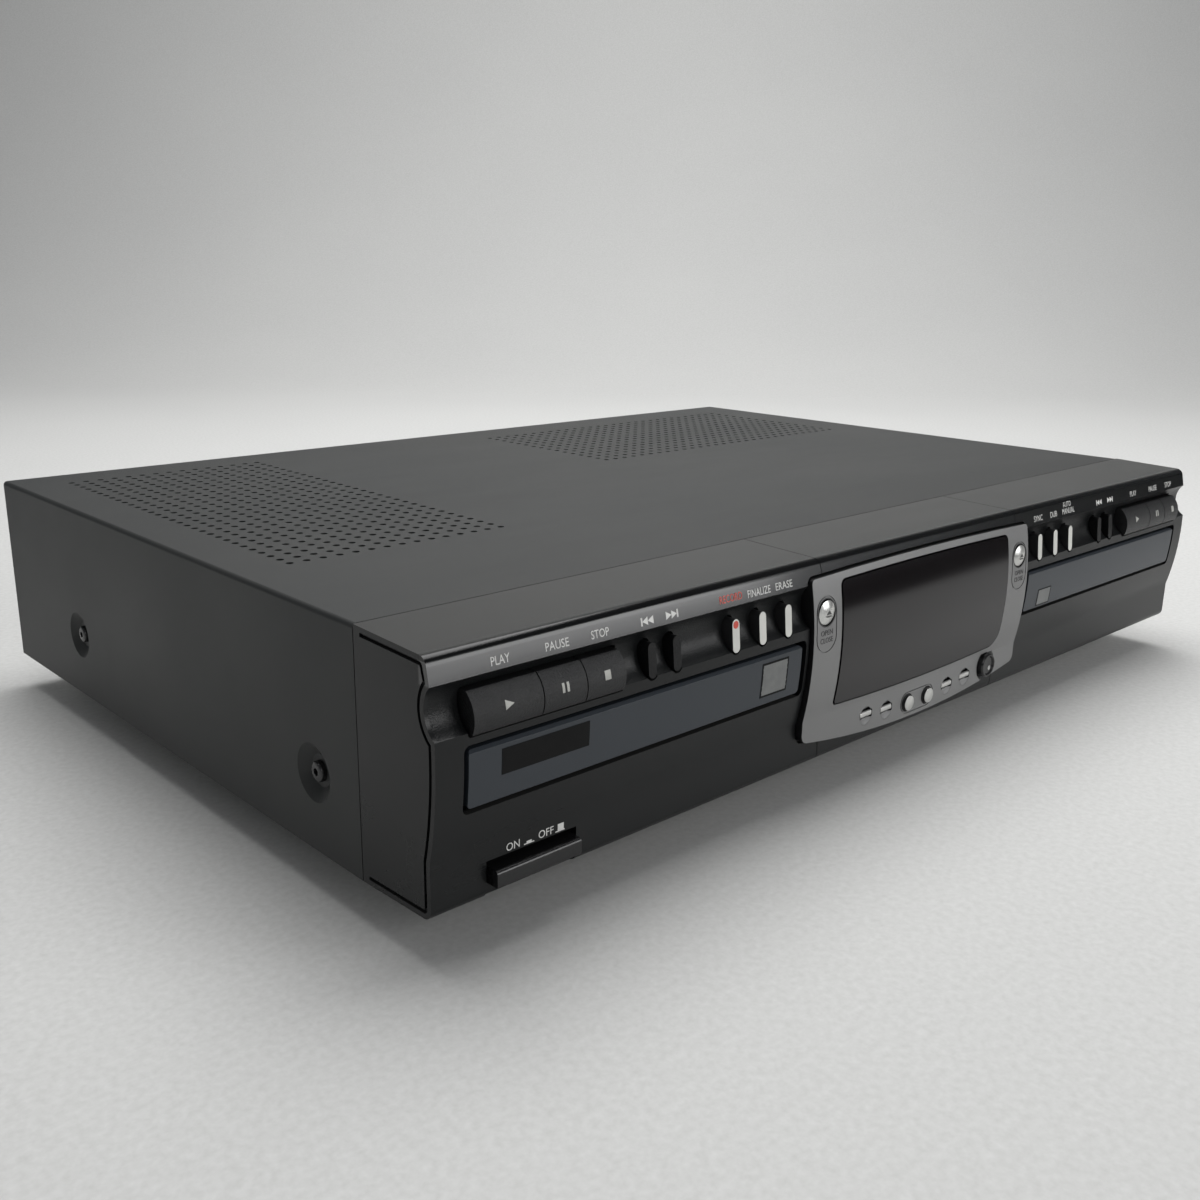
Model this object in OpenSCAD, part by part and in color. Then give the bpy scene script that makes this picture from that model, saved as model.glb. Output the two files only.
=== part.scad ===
// Twin-deck disc recorder: sheet-steel case, a three-piece moulded front and two disc loaders.
// Sizes are in millimetres. Inside the modules x is centred, y = 0 is the top front edge of the
// front panel with the rear at +y, and z = 0 is the underside of the case, on top of the feet.

/* [Case] */
// Width of the case
body_w = 435; // [425:1:450]
// Height of the case without its feet
body_h = 74.5; // [72:0.5:82]
// Depth from the panel's top front edge to the rear edge of the cover
body_d = 298; // [292:1:320]
// Thickness of the cover sheet
cover_t = 1; // [0.8:0.1:1.4]
// Outer radius of the cover's bends
cover_bend = 1.6; // [1.3:0.1:3]
// Thickness of the chassis and rear panel sheet
base_t = 1.2; // [0.8:0.1:1.6]
// Height of the chassis side walls
side_wall_h = 34; // [32:1:44]
// Rear panel's set-back from the cover's rear edge
rear_inset = 2; // [1:0.5:4]
// Open line between front panel and cover
seam_gap = 0.4; // [0.2:0.1:0.8]

/* [Feet] */
// Height of a foot
foot_h = 13.5; // [8:0.5:18]
// Radius of a foot
foot_r = 18; // [12:0.5:24]
// Foot centre from the case side
foot_in_x = 58; // [40:1:80]
// Foot centre behind the panel's top front edge
foot_front = 72; // [60:1:90]
// Foot centre ahead of the cover's rear edge
foot_rear = 46; // [30:1:70]

/* [Cover screws and vents] */
// Radius of the dished screw seat
dimple_r = 9; // [8:0.1:10]
// Radius of the seat's flat floor
dimple_floor_r = 5; // [4.4:0.1:5.6]
// Depth of the dished screw seat
dimple_depth = 2.6; // [2.2:0.1:3]
// Height of the side screws
side_screw_z = 24.4; // [20:0.2:27]
// Front side screw behind the panel's top front edge
front_screw_y = 54.2; // [48:0.2:60]
// Rear side screw behind the panel's top front edge
rear_screw_y = 228.6; // [200:0.2:240]
// Radius of a screw head
screw_head_r = 3.2; // [2.6:0.1:3.6]
// Radius of a screw shank
screw_r = 1.5; // [1.2:0.1:1.8]
// Pitch of the vent holes
vent_pitch = 5.96; // [5.5:0.02:6.2]
// Radius of a vent hole
vent_r = 1.25; // [1:0.05:1.6]

/* [Front panel] */
// Depth of the front panel mouldings
panel_d = 29.6; // [27:0.2:34]
// Wall of the mouldings
panel_wall = 2.6; // [2:0.1:2.8]
// How far the belly stands ahead of the top front edge
belly_out = 6; // [5:0.1:7]
// Radius of the belly's curve
belly_r = 120; // [100:1:140]
// Crest of the belly below the ledge
belly_drop = 5.4; // [3:0.1:8]
// Lower face ahead of the top front edge
low_out = 2.4; // [1.5:0.1:3.2]
// Height of the glossy strip at the top, down to the cove
strip_h = 8.6; // [7.5:0.1:10]
// Strip's upper edge ahead of the top front edge
strip_top_out = 3.2; // [2.4:0.1:3.6]
// Strip's lower edge ahead of the top front edge
strip_low_out = 4.2; // [3.8:0.1:4.8]
// Radius of the key cove
cove_r = 8.9; // [8.4:0.1:9.6]
// Deepest line of the cove ahead of the top front edge
cove_out = 1.5; // [1:0.1:2]
// Draft of the top and bottom faces over the panel's depth
panel_draft = 1; // [0.4:0.1:1.6]
// Radius of the top and bottom front edges
panel_edge_r = 3.2; // [2.9:0.1:4]
// Inner face of the key wall behind the top front edge
key_wall_y = 1.5; // [1:0.1:2.5]
// Seam of the centre moulding inside the bezel's side, at the top
seam_in_top = 6.3; // [5:0.1:8]
// Panel seams' lower ends past the jog knob's axis
seam_past_jog = 8.6; // [7:0.1:9]
// Width of the groove round the end cheeks
groove_w = 1.1; // [0.6:0.1:1.4]
// Depth of the groove round the end cheeks
groove_depth = 0.9; // [0.4:0.1:1.4]

/* [Keys] */
// Travel of the keys
key_travel = 0.5; // [0.3:0.1:0.8]
// Clearance round a key
key_gap = 0.35; // [0.25:0.05:0.5]
// Thickness of a fin key
fin_w = 3.2; // [2.6:0.1:3.6]
// Height of a fin key
fin_h = 10.5; // [9:0.1:11.5]
// Fin face ahead of the top front edge at its middle
fin_out = 5.6; // [4.8:0.1:6.4]
// Clearance of a slot round its fin
slot_gap = 0.7; // [0.4:0.05:0.9]
// Innermost white fin from the middle of its tray
white_fin_in = 59.8; // [58:0.1:61]
// Pitch of the white fins
white_fin_pitch = 12.6; // [11:0.1:13.5]
// Inner black fin from the middle of its tray
black_fin_in = 8.7; // [7:0.1:11]
// Pitch of the black fins
black_fin_pitch = 10.2; // [9:0.1:10.6]
// Inner end of the barrel keys from the middle of the tray
barrel_in = 13.8; // [13:0.1:15]
// Clearance of the slot round the barrel keys
barrel_gap = 0.8; // [0.4:0.05:1]
// Width of the play key
play_w = 22.8; // [20:0.1:24]
// Width of the pause key
pause_w = 15; // [13:0.1:16]
// Width of the stop key
stop_w = 14.2; // [12:0.1:15]
// Barrel keys' crest ahead of the top front edge
barrel_out = 7.7; // [7:0.1:8.4]
// Outer end of the power button from the case side
power_in = 19.1; // [17:0.1:22]
// Length of the power button
power_w = 30; // [26:0.5:34]
// Height of the power button
power_h = 5; // [4:0.1:6]
// Power button's underside above the case bottom
power_z = 5.3; // [4.6:0.1:6]
// Power button's face ahead of the top front edge
power_out = 6; // [5.4:0.1:7]
// Travel of the power button
power_travel = 3.5; // [2:0.1:4]

/* [Display bezel] */
// Panel left between the bezel and a tray front
bezel_margin = 4.3; // [3.9:0.1:6]
// Lowest point of the bezel's bowed lower edge
bezel_low_z = 5.2; // [4.8:0.1:6]
// Crown of the bezel's upper edge below the top of the case
bezel_top_drop = 5.65; // [5:0.05:7]
// Radius of the bowed lower edge
bezel_bow_r = 390; // [340:10:500]
// Radius of the crowned upper edge
bezel_crown_r = 2300; // [1500:50:4000]
// Radius of the bezel's front curve
bezel_r = 120; // [105:1:150]
// Bezel's crest ahead of the top front edge
bezel_out = 7.4; // [6.8:0.1:8]
// Bezel's crest below its upper edge
bezel_crest_drop = 24.85; // [22:0.05:28]
// Bezel's lower face ahead of the top front edge
bezel_low_out = 4.7; // [4.2:0.1:5.2]
// Wall of the bezel
bezel_wall = 2.5; // [1.8:0.1:2.8]
// Open line round the bezel
bezel_gap = 0.8; // [0.4:0.1:1.2]
// Bezel left beside the display window
window_in = 15.5; // [15:0.1:19]
// Open line round the window
window_gap = 0.6; // [0.3:0.05:0.8]
// Window's lower edge above the case bottom
window_low_z = 20.3; // [20:0.1:24]
// Window's upper edge below the bezel's upper edge
window_top_drop = 3; // [2.5:0.1:5]
// Thickness of the window
window_t = 2; // [1.5:0.1:2.4]
// Radius of the open/close keys
open_key_r = 4.15; // [3.6:0.05:4.4]
// Open/close keys inside the bezel's side
open_key_in = 6.7; // [6.5:0.1:7.5]
// Open/close keys below the bezel's upper edge
open_key_drop = 12.65; // [11:0.05:14]
// Open/close keys' crest ahead of the bezel's crest
open_key_proud = 0.4; // [0.1:0.1:1]
// Radius of the round keys
round_key_r = 3.15; // [2.9:0.05:3.4]
// Round keys from the middle, as a share of the bezel's half width
round_key_at = 0.0927; // [0.085:0.001:0.1]
// Width of a small key
small_key_w = 6.6; // [6:0.1:7]
// Height of a small key
small_key_h = 2.3; // [2:0.1:2.8]
// Radius of the jog knob
jog_r = 4.8; // [4.2:0.1:5]
// Jog knob from the middle, as a share of the bezel's half width
jog_at = 0.692; // [0.68:0.001:0.7]
// Jog knob's axis above the case bottom
jog_z = 13.7; // [13.2:0.1:14.2]
// Jog knob's face ahead of the top front edge
jog_out = 6.4; // [6:0.1:7]

/* [Trays and loaders] */
// Middle of a tray from the case side
tray_in = 77.5; // [77:0.1:78]
// Middle of the tray front below the ledge
tray_drop = 13; // [12.4:0.1:13.4]
// Length of a tray front
tray_front_w = 134.4; // [133:0.2:135]
// Height of a tray front
tray_front_h = 16.4; // [15.8:0.1:17]
// Open line above, below and at the outer end of a tray front
tray_gap = 1.5; // [0.8:0.1:1.6]
// Open line at the inner end of a tray front
tray_end_gap = 2.2; // [1:0.1:2.4]
// Width of a tray
tray_w = 128; // [126:0.5:129]
// Rear end of a tray ahead of the rear panel
tray_rear = 82; // [78:1:100]
// Height of a tray
tray_h = 8; // [7.5:0.1:9]
// Travel of a tray
tray_travel = 140; // [120:1:145]
// Radius of the disc recess
disc_r = 61; // [60.5:0.1:61.5]
// Depth of the disc recess
disc_depth = 5; // [4.6:0.1:5.2]
// Disc centre behind the top front edge
disc_y = 73; // [72:0.5:76]
// Running gap of the tray's side flanges
rail_gap = 0.3; // [0.2:0.05:0.5]
// Tooth module of the tray rack and gear
gear_module = 1; // [0.9:0.05:1.1]
// Teeth of the tray gear
gear_teeth = 24; // [20:1:26]
// Radial play of a shaft in its bore
bore_play = 0.05; // [0.03:0.01:0.08]
// Travel of a pickup
pickup_travel = 33; // [28:1:34]

/* [Rear] */
// Radius of a phono jack's shell
jack_r = 4.15; // [4:0.05:4.3]
// Length of a phono jack's shell outside the rear panel
jack_len = 9; // [8:0.1:10]
// Spacing of the jacks
jack_pitch = 16; // [14:0.5:18]

/* [Hidden] */
$fn = 48;
side_x = body_w / 2;
tray_x = side_x - tray_in;
power_x = side_x - power_in;
bezel_hw = tray_x - tray_front_w / 2 - bezel_margin;
bezel_w = 2 * bezel_hw;
window_hw = bezel_hw - window_in;
seam_top = bezel_hw - seam_in_top;
open_key_x = bezel_hw - open_key_in;
round_key_x = round_key_at * bezel_hw;
jog_x = jog_at * bezel_hw;
seam_low = jog_x + seam_past_jog;
barrel_x = tray_x + barrel_in;
strip_low_z = body_h - strip_h;
cove_y = cove_out + cove_r;
cove_z = strip_low_z - cove_r * sin(acos((cove_y - strip_low_out) / cove_r));
ledge_out = belly_out - 0.15;
ledge_z = cove_z - cove_r * sin(acos((cove_y - ledge_out) / cove_r));
belly_z = ledge_z - belly_drop;
rear_y = body_d - rear_inset;
front_out = max([bezel_out + open_key_proud, barrel_out, fin_out, power_out, jog_out]);
y_datum = -(rear_y + jack_len - front_out) / 2;

// Heights of the trays and of what carries them
tray_z = ledge_z - tray_drop;
tray_low = tray_z - 6;
rack_h = 3;
wall_top = tray_low + tray_h + 9;
loader_low = tray_low - 21;
loader_t = 2;
loader_hw = tray_w / 2 + 5;
loader_wall = 2.5;
loader_y = panel_d + base_t + 2;
tray_y = -1;
tray_len = rear_y - tray_rear - tray_y;
loader_len = tray_len + 27;
pitch_r = gear_module * gear_teeth / 2;
rack_x = -tray_w / 2 + 8;
gear_y = loader_y + 13;
engine_low = loader_low + 6;
engine_t = 2;
engine_y = gear_y + 6;
engine_hw = 43;
hinge_y = disc_y + 79;
hinge_z = engine_low + engine_t / 2;
motor_top = engine_low + engine_t + 7;
rod_z = engine_low + 5;
lens_y = disc_y + 26;

// Control boards stand behind the key wall; every key ends short of its switch
board_y = 12;
board_t = 1.6;
switch_h = 4.3;
button_h = 0.8;
stem_end = board_y - switch_h - button_h - key_travel - 0.1;
flange_t = 1.2;
fin_z = ledge_z + 4.85;
barrel_z = ledge_z + 3.4;
barrel_r = 8.9;
barrel_low = ledge_z - 0.6;
barrel_top = ledge_z + 10.6;
small_key_x = [0.47 * bezel_hw, 0.289 * bezel_hw];
small_key_z = [12.7, 11.9];
round_key_z = 10.9;
bezel_seat = 1;
bezel_top = body_h - bezel_top_drop;
bezel_crest_z = bezel_top - bezel_crest_drop;
open_key_z = bezel_top - open_key_drop;
key_seat = bezel_low_out - bezel_wall;

// Frames and extrusions

module case_frame() translate([0, y_datum, foot_h]) children();

module deck(side) case_frame() translate([side * tray_x, 0, 0]) children();

// A side profile drawn in y and z, carried along x
module along_x(x0, x1) translate([x0, 0, 0]) rotate([90, 0, 90]) linear_extrude(x1 - x0) children();

// A front outline drawn in x and z, carried along y
module along_y(y0, y1) translate([0, y1, 0]) rotate([90, 0, 0]) linear_extrude(y1 - y0) children();

module box(x0, x1, y0, y1, z0, z1) translate([x0, y0, z0]) cube([x1 - x0, y1 - y0, z1 - z0]);

// Outlines as points

function arc(c, r, a0, a1, n) =
    [for (i = [0:n]) let (a = a0 + (a1 - a0) * i / n) [c[0] + r * cos(a), c[1] + r * sin(a)]];

// The same arc without its two end points
function inner_arc(c, r, a0, a1, n) = let (p = arc(c, r, a0, a1, n)) [for (i = [1:n - 1]) p[i]];

function soft_rect(x0, z0, x1, z1, r) = concat(
    arc([x1 - r, z1 - r], r, 0, 90, 5), arc([x0 + r, z1 - r], r, 90, 180, 5),
    arc([x0 + r, z0 + r], r, 180, 270, 5), arc([x1 - r, z0 + r], r, 270, 360, 5));

// Side profile of the front panel, inset by t: nose, strip, key cove, belly and lower face
function panel_outline(t = 0) =
    let (rear = panel_d + (t > 0 ? 1 : 0),
         edge_r = panel_edge_r - t,
         nose = [panel_edge_r - strip_top_out, body_h - panel_draft - panel_edge_r],
         foot = [panel_edge_r - low_out, panel_edge_r + panel_draft],
         cove_a = acos((cove_y - strip_low_out + t) / (cove_r + t)),
         cove_b = acos((cove_y - ledge_out + t) / (cove_r + t)),
         belly_c = [belly_r - belly_out, belly_z],
         lip_z = cove_z - (cove_r + t) * sin(cove_b),
         belly_a = 180 - asin((lip_z - belly_z) / (belly_r - t)),
         belly_b = 180 + acos((belly_c[0] + low_out - t) / (belly_r - t)))
    concat([[rear, t], [rear, body_h - t]],
           arc(nose, edge_r, 90, 172, 7),
           arc([-cove_y, cove_z], cove_r + t, cove_a, -cove_b, 20),
           arc(belly_c, belly_r - t, belly_a, belly_b, 9),
           arc(foot, edge_r, 180, 268, 6));

// Front outline with a bowed lower and a crowned upper edge: hw is the half width, rt the upper
// corners' radius, rl and rr the lower corners' radii; the outline is grown by g
function shield(hw, low, top, bow, rt, rl, rr, g = 0) =
    let (bow_z = low + bow,
         crown_z = top - bezel_crown_r,
         ct = crown_z + sqrt(pow(bezel_crown_r - rt, 2) - pow(hw - rt, 2)),
         at = atan2(ct - crown_z, hw - rt),
         cl = [rl - hw, bow_z - sqrt(pow(bow - rl, 2) - pow(hw - rl, 2))],
         cr = [hw - rr, bow_z - sqrt(pow(bow - rr, 2) - pow(hw - rr, 2))],
         al = atan2(cl[1] - bow_z, cl[0]),
         ar = atan2(cr[1] - bow_z, cr[0]))
    concat(inner_arc([0, bow_z], bow + g, al, ar, 12),
           arc(cr, rr + g, ar, 0, 6), arc([hw - rt, ct], rt + g, 0, at, 5),
           inner_arc([0, crown_z], bezel_crown_r + g, at, 180 - at, 6),
           arc([rt - hw, ct], rt + g, 180 - at, 180, 5), arc(cl, rl + g, -180, al, 6));

function bezel_outline(g = 0) =
    shield(bezel_hw, bezel_low_z, bezel_top, bezel_bow_r, 1.6, 3.2, 3.2, g);

function window_outline(g = 0) =
    shield(window_hw, window_low_z, bezel_top - window_top_drop, 900, 2, 1.5, 6, g);

// Side profile of the bezel's front face, inset by t
function bezel_side(t = 0) =
    let (c = [bezel_r - bezel_out, bezel_crest_z],
         low_a = acos((c[0] + bezel_low_out - t) / (bezel_r - t)),
         top_a = asin((body_h - bezel_crest_z) / (bezel_r - t)))
    concat([[1, -1], [1, body_h]], arc(c, bezel_r - t, 180 - top_a, 180 + low_a, 14),
           [[t - bezel_low_out, -1]]);

// Case

module screw_spots() for (s = [-1, 1], y = [front_screw_y, rear_screw_y])
    translate([s * side_x, y, side_screw_z]) rotate([0, -90 * s, 0]) children();

module tab_spots() for (x = [-0.34, 0, 0.34]) translate([x * body_w, rear_y, body_h - 7]) children();

module vent_field(x, y, columns, rows) translate([0, 0, body_h - cover_t - 0.5]) linear_extrude(cover_t + 1)
    for (i = [0:columns - 1], j = [0:rows - 1]) translate([x + i * vent_pitch, y + j * vent_pitch]) circle(vent_r);

module top_cover() color("#3b3a38") case_frame() difference() {
    union() {
        along_y(panel_d + seam_gap, body_d) difference() {
            polygon(concat([[side_x, 0]], arc([side_x - cover_bend, body_h - cover_bend], cover_bend, 0, 90, 6),
                arc([cover_bend - side_x, body_h - cover_bend], cover_bend, 90, 180, 6), [[-side_x, 0]]));
            polygon(concat([[side_x - cover_t, -1]],
                arc([side_x - cover_bend, body_h - cover_bend], cover_bend - cover_t, 0, 90, 6),
                arc([cover_bend - side_x, body_h - cover_bend], cover_bend - cover_t, 90, 180, 6),
                [[cover_t - side_x, -1]]));
        }
        screw_spots() translate([0, 0, cover_t / 2])
            cylinder(h = dimple_depth + cover_t / 2, r1 = dimple_r, r2 = dimple_floor_r + 0.8);
        tab_spots() box(-8, 8, 0, cover_t, -6, 7 - cover_t / 2);
    }
    screw_spots() {
        translate([0, 0, -0.01]) cylinder(h = dimple_depth + 0.01, r1 = dimple_r, r2 = dimple_floor_r);
        cylinder(h = 20, r = screw_r + 0.4);
    }
    tab_spots() along_y(-1, 3) circle(screw_r + 0.3);
    vent_field(20.1 - side_x, body_d - 199.8, 15, 31);
    vent_field(side_x - 200.2, body_d - 114.6, 30, 16);
}

wall_x = side_x - cover_t - dimple_depth;

module pillar(x, y, top, r = 4) translate([x, y, base_t / 2]) cylinder(h = top - base_t / 2, r = r);

loader_feet = [for (s = [-1, 1], dx = [-60, 60], dy = [9, loader_len - 12])
    [s * tray_x + dx, loader_y + dy]];
board_hw = tray_x - loader_hw - 11;
wing_x = tray_x + 8;
wing_y = loader_y + loader_len + 1;
supply_feet = [for (s = [-1, 1], y = [50, 122]) [s * (board_hw - 10), y]];
main_feet = [for (s = [-1, 1], p = [[board_hw - 6, 150], [wing_x - 12, wing_y + 8]]) [s * p[0], p[1]]];
low_board_z = 8;

module base_chassis() color("#8d9094") case_frame() difference() {
    union() {
        box(-side_x + cover_t + 0.1, side_x - cover_t - 0.1, panel_d, rear_y, 0, base_t);
        for (s = [-1, 1]) box(min(s * wall_x, s * (wall_x - base_t)), max(s * wall_x, s * (wall_x - base_t)),
            panel_d, rear_y - base_t, 0, side_wall_h);
        box(-wall_x, wall_x, panel_d, panel_d + base_t, 0, body_h - cover_t);
        for (p = loader_feet) pillar(p[0], p[1], loader_low);
        for (p = concat(supply_feet, main_feet)) pillar(p[0], p[1], low_board_z, 3);
    }
    screw_spots() cylinder(h = 12, r = screw_r + 0.1);
    for (s = [-1, 1]) along_y(panel_d - 1, panel_d + base_t + 1) translate([s * tray_x, 0])
        polygon(soft_rect(-loader_hw - 2, loader_low - 2, loader_hw + 2, wall_top + 4, 3));
    along_y(panel_d - 1, panel_d + base_t + 1)
        polygon(soft_rect(26.5 - bezel_hw, 14, bezel_hw - 26.5, body_h - 14, 3));
    for (s = [-1, 1], i = [0:7]) translate([s * 30 + (i - 3.5) * 6.5, 0, 0])
        translate([0, 0, -1]) linear_extrude(base_t + 2) polygon(soft_rect(-1.5, 190, 1.5, 222, 1.4));
}

screw_head_h = 1.9;

module case_screw() {
    difference() {
        rotate_extrude() polygon([[0, 0], [screw_head_r - 0.9, 0], [screw_head_r - 0.3, 0.3],
            [screw_head_r, 0.9], [screw_head_r, screw_head_h], [0, screw_head_h]]);
        translate([0, 0, -0.01]) cylinder(h = 1.2, r = 1.3, $fn = 6);
    }
    translate([0, 0, screw_head_h - 0.1]) cylinder(h = 5, r = screw_r);
}

module case_screws() color("#1c1c1d") case_frame() {
    screw_spots() translate([0, 0, dimple_depth - screw_head_h]) case_screw();
    tab_spots() translate([0, cover_t + screw_head_h, 0]) rotate([90, 0, 0]) case_screw();
}

module feet() color("#151515") case_frame()
    for (s = [-1, 1], y = [foot_front, body_d - foot_rear]) translate([s * (side_x - foot_in_x), y, -foot_h])
        rotate_extrude() polygon([[5, 3], [5, 0], [foot_r - 2, 0], [foot_r - 1, 1], [foot_r, foot_h - 1],
            [foot_r, foot_h], [0, foot_h], [0, 3]]);

// Rear

jack_z = 22;
jack_x = [for (i = [0:5]) 20 + i * jack_pitch];
optic_x = [-20, -20 - jack_pitch];
inlet_x = 57.5 - side_x;
inlet_z = 26;
rear_hw = side_x - cover_t - 0.3;

module rear_panel() color("#2a2a2b") case_frame() difference() {
    along_y(rear_y - base_t, rear_y) polygon(concat([[rear_hw, base_t]],
        arc([rear_hw - cover_bend, body_h - cover_t - cover_bend], cover_bend, 0, 90, 5),
        arc([cover_bend - rear_hw, body_h - cover_t - cover_bend], cover_bend, 90, 180, 5), [[-rear_hw, base_t]]));
    for (x = jack_x) translate([x, 0, jack_z]) along_y(rear_y - 5, rear_y + 1) circle(jack_r + 0.6);
    for (x = optic_x) along_y(rear_y - 5, rear_y + 1) translate([x, jack_z])
        polygon(soft_rect(-5.2, -5.2, 5.2, 5.2, 0.8));
    along_y(rear_y - 5, rear_y + 1) translate([inlet_x, inlet_z]) polygon(soft_rect(-10.4, -6.2, 10.4, 6.2, 5));
    tab_spots() along_y(-5, 1) circle(screw_r + 0.1);
    for (s = [-1, 1], i = [0:9]) along_y(rear_y - 5, rear_y + 1)
        translate([s * (side_x - 67.5) + (i - 4.5) * 7, body_h - 24.5]) polygon(soft_rect(-1.6, -9, 1.6, 9, 1.5));
}

module signal_jacks() color("#c9c9c6") case_frame() {
    difference() {
        union() {
            box(jack_x[0] - 9, jack_x[5] + 9, rear_y - 20, rear_y - base_t, low_board_z + board_t, jack_z + 8);
            for (x = jack_x) translate([x, 0, jack_z]) along_y(rear_y - 6, rear_y + jack_len) circle(jack_r);
        }
        for (x = jack_x) translate([x, 0, jack_z]) along_y(rear_y - 4, rear_y + jack_len + 1) circle(1.7);
    }
    for (x = optic_x) difference() {
        union() {
            box(x - 6.5, x + 6.5, rear_y - 16, rear_y - base_t, low_board_z + board_t, jack_z + 7);
            along_y(rear_y - 5, rear_y + 1.2) translate([x, jack_z]) polygon(soft_rect(-4.9, -4.9, 4.9, 4.9, 0.7));
        }
        along_y(rear_y - 1, rear_y + 3) translate([x, jack_z]) polygon(soft_rect(-3.2, -3.2, 3.2, 3.2, 0.5));
    }
}

module mains_inlet() color("#161616") case_frame() translate([inlet_x, 0, inlet_z]) {
    difference() {
        union() {
            along_y(rear_y, rear_y + 2) polygon(soft_rect(-14, -8.5, 14, 8.5, 2));
            along_y(rear_y - 18, rear_y + 1) polygon(soft_rect(-10, -5.8, 10, 5.8, 5));
        }
        along_y(rear_y - 13, rear_y + 3) polygon(soft_rect(-8, -4, 8, 4, 3.9));
    }
    for (s = [-1, 1]) translate([s * 4.3, 0, 0]) along_y(rear_y - 14, rear_y - 2) circle(1.2);
}

// Front panel

module bezel_recess() along_y(-20, -bezel_seat) polygon(bezel_outline(bezel_gap));

module panel_shell(x0, x1) difference() {
    along_x(x0, x1) polygon(panel_outline());
    along_x(x0 - 1, x1 - (x1 > seam_top ? panel_wall : -1)) intersection() {
        polygon(panel_outline(panel_wall));
        translate([key_wall_y, 0]) square([panel_d + 2, body_h]);
    }
    bezel_recess();
}

white_fins = [for (i = [0:2]) tray_x - white_fin_in + i * white_fin_pitch];
black_fins = [for (i = [0:1]) tray_x - black_fin_in + i * black_fin_pitch];
barrel_w = play_w + pause_w + stop_w + 2 * key_gap;
post_x = [(white_fins[2] + black_fins[0]) / 2, (black_fins[1] + barrel_x) / 2];

module fin_outline(g) polygon(soft_rect(-fin_w / 2 - g, fin_z - fin_h / 2 - g, fin_w / 2 + g,
    fin_z + fin_h / 2 + g, fin_w / 2 + g - 0.01));

// Right-hand moulding; the left one is its mirror image with the notch for the power button
module side_panel() difference() {
    union() {
        intersection() {
            panel_shell(0, side_x);
            along_y(-20, panel_d) polygon([[seam_low + 0.15, -1], [side_x, -1], [side_x, body_h + 1],
                [seam_top + 0.15, body_h + 1]]);
        }
        for (x = post_x) translate([x, 0, fin_z]) along_y(key_wall_y - 0.5, board_y) circle(2);
    }
    along_x(bezel_hw + 4, side_x - panel_wall) intersection() {
        polygon(panel_outline(panel_wall));
        translate([-20, 0]) square([20 + key_wall_y + 0.5, ledge_z - panel_wall - 1]);
    }
    along_y(-20, 10) translate([tray_x, tray_z]) polygon(soft_rect(-tray_front_w / 2 - tray_end_gap,
        -tray_front_h / 2 - tray_gap, tray_front_w / 2 + tray_gap, tray_front_h / 2 + tray_gap, 2));
    for (x = concat(white_fins, black_fins)) along_y(-20, 4) translate([x, 0]) fin_outline(slot_gap);
    along_y(-20, 4) polygon(soft_rect(barrel_x - barrel_gap, barrel_low - barrel_gap,
        barrel_x + barrel_w + barrel_gap, barrel_top + barrel_gap, 1));
    translate([open_key_x, 0, open_key_z]) along_y(-20, 4) circle(2.4);
    along_x(side_x - groove_depth, side_x + 1) intersection() {
        difference() {
            polygon(panel_outline(1.6));
            polygon(panel_outline(1.6 + groove_w));
        }
        translate([-20, 0]) square([17 + panel_d, body_h]);
    }
}

module left_front_panel() color("#26282a") case_frame() difference() {
    mirror([1, 0, 0]) side_panel();
    box(-power_x - 1, -power_x + power_w + 1, -20, panel_wall - low_out, -1, power_z + power_h + 2);
}

module right_front_panel() color("#26282a") case_frame() side_panel();

display_hw = window_hw - 1.5;
display_post_z = [30, bezel_top - 9];

module centre_front_panel() color("#26282a") case_frame() difference() {
    union() {
        intersection() {
            panel_shell(-seam_top - 5, seam_top + 5);
            along_y(-20, panel_d) polygon([[-seam_low + 0.15, -1], [seam_low - 0.15, -1],
                [seam_top - 0.15, body_h + 1], [0.15 - seam_top, body_h + 1]]);
        }
        for (s = [-1, 1], z = display_post_z) translate([s * (window_hw + 1.2), 0, z])
            along_y(key_wall_y - 0.5, board_y) circle(2);
    }
    along_y(-20, 5) polygon(soft_rect(-display_hw, 7.2, display_hw, bezel_top - 2, 2));
    for (s = [-1, 1]) translate([s * open_key_x, 0, open_key_z]) along_y(-20, 4) circle(2.4);
    translate([jog_x, 0, jog_z]) along_y(-20, board_y) circle(3 + key_gap);
}

// Display bezel

jog_bore_r = jog_r + key_gap;

// Shallow line cut into the bezel's face, following its curve
module bezel_line(x0, z0, x1, z1, r) difference() {
    along_y(-20, 0) difference() {
        polygon(soft_rect(x0, z0, x1, z1, r));
        polygon(soft_rect(x0 + 0.4, z0 + 0.4, x1 - 0.4, z1 - 0.4, r - 0.4));
    }
    along_x(-bezel_w, bezel_w) polygon(bezel_side(0.3));
}

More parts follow.
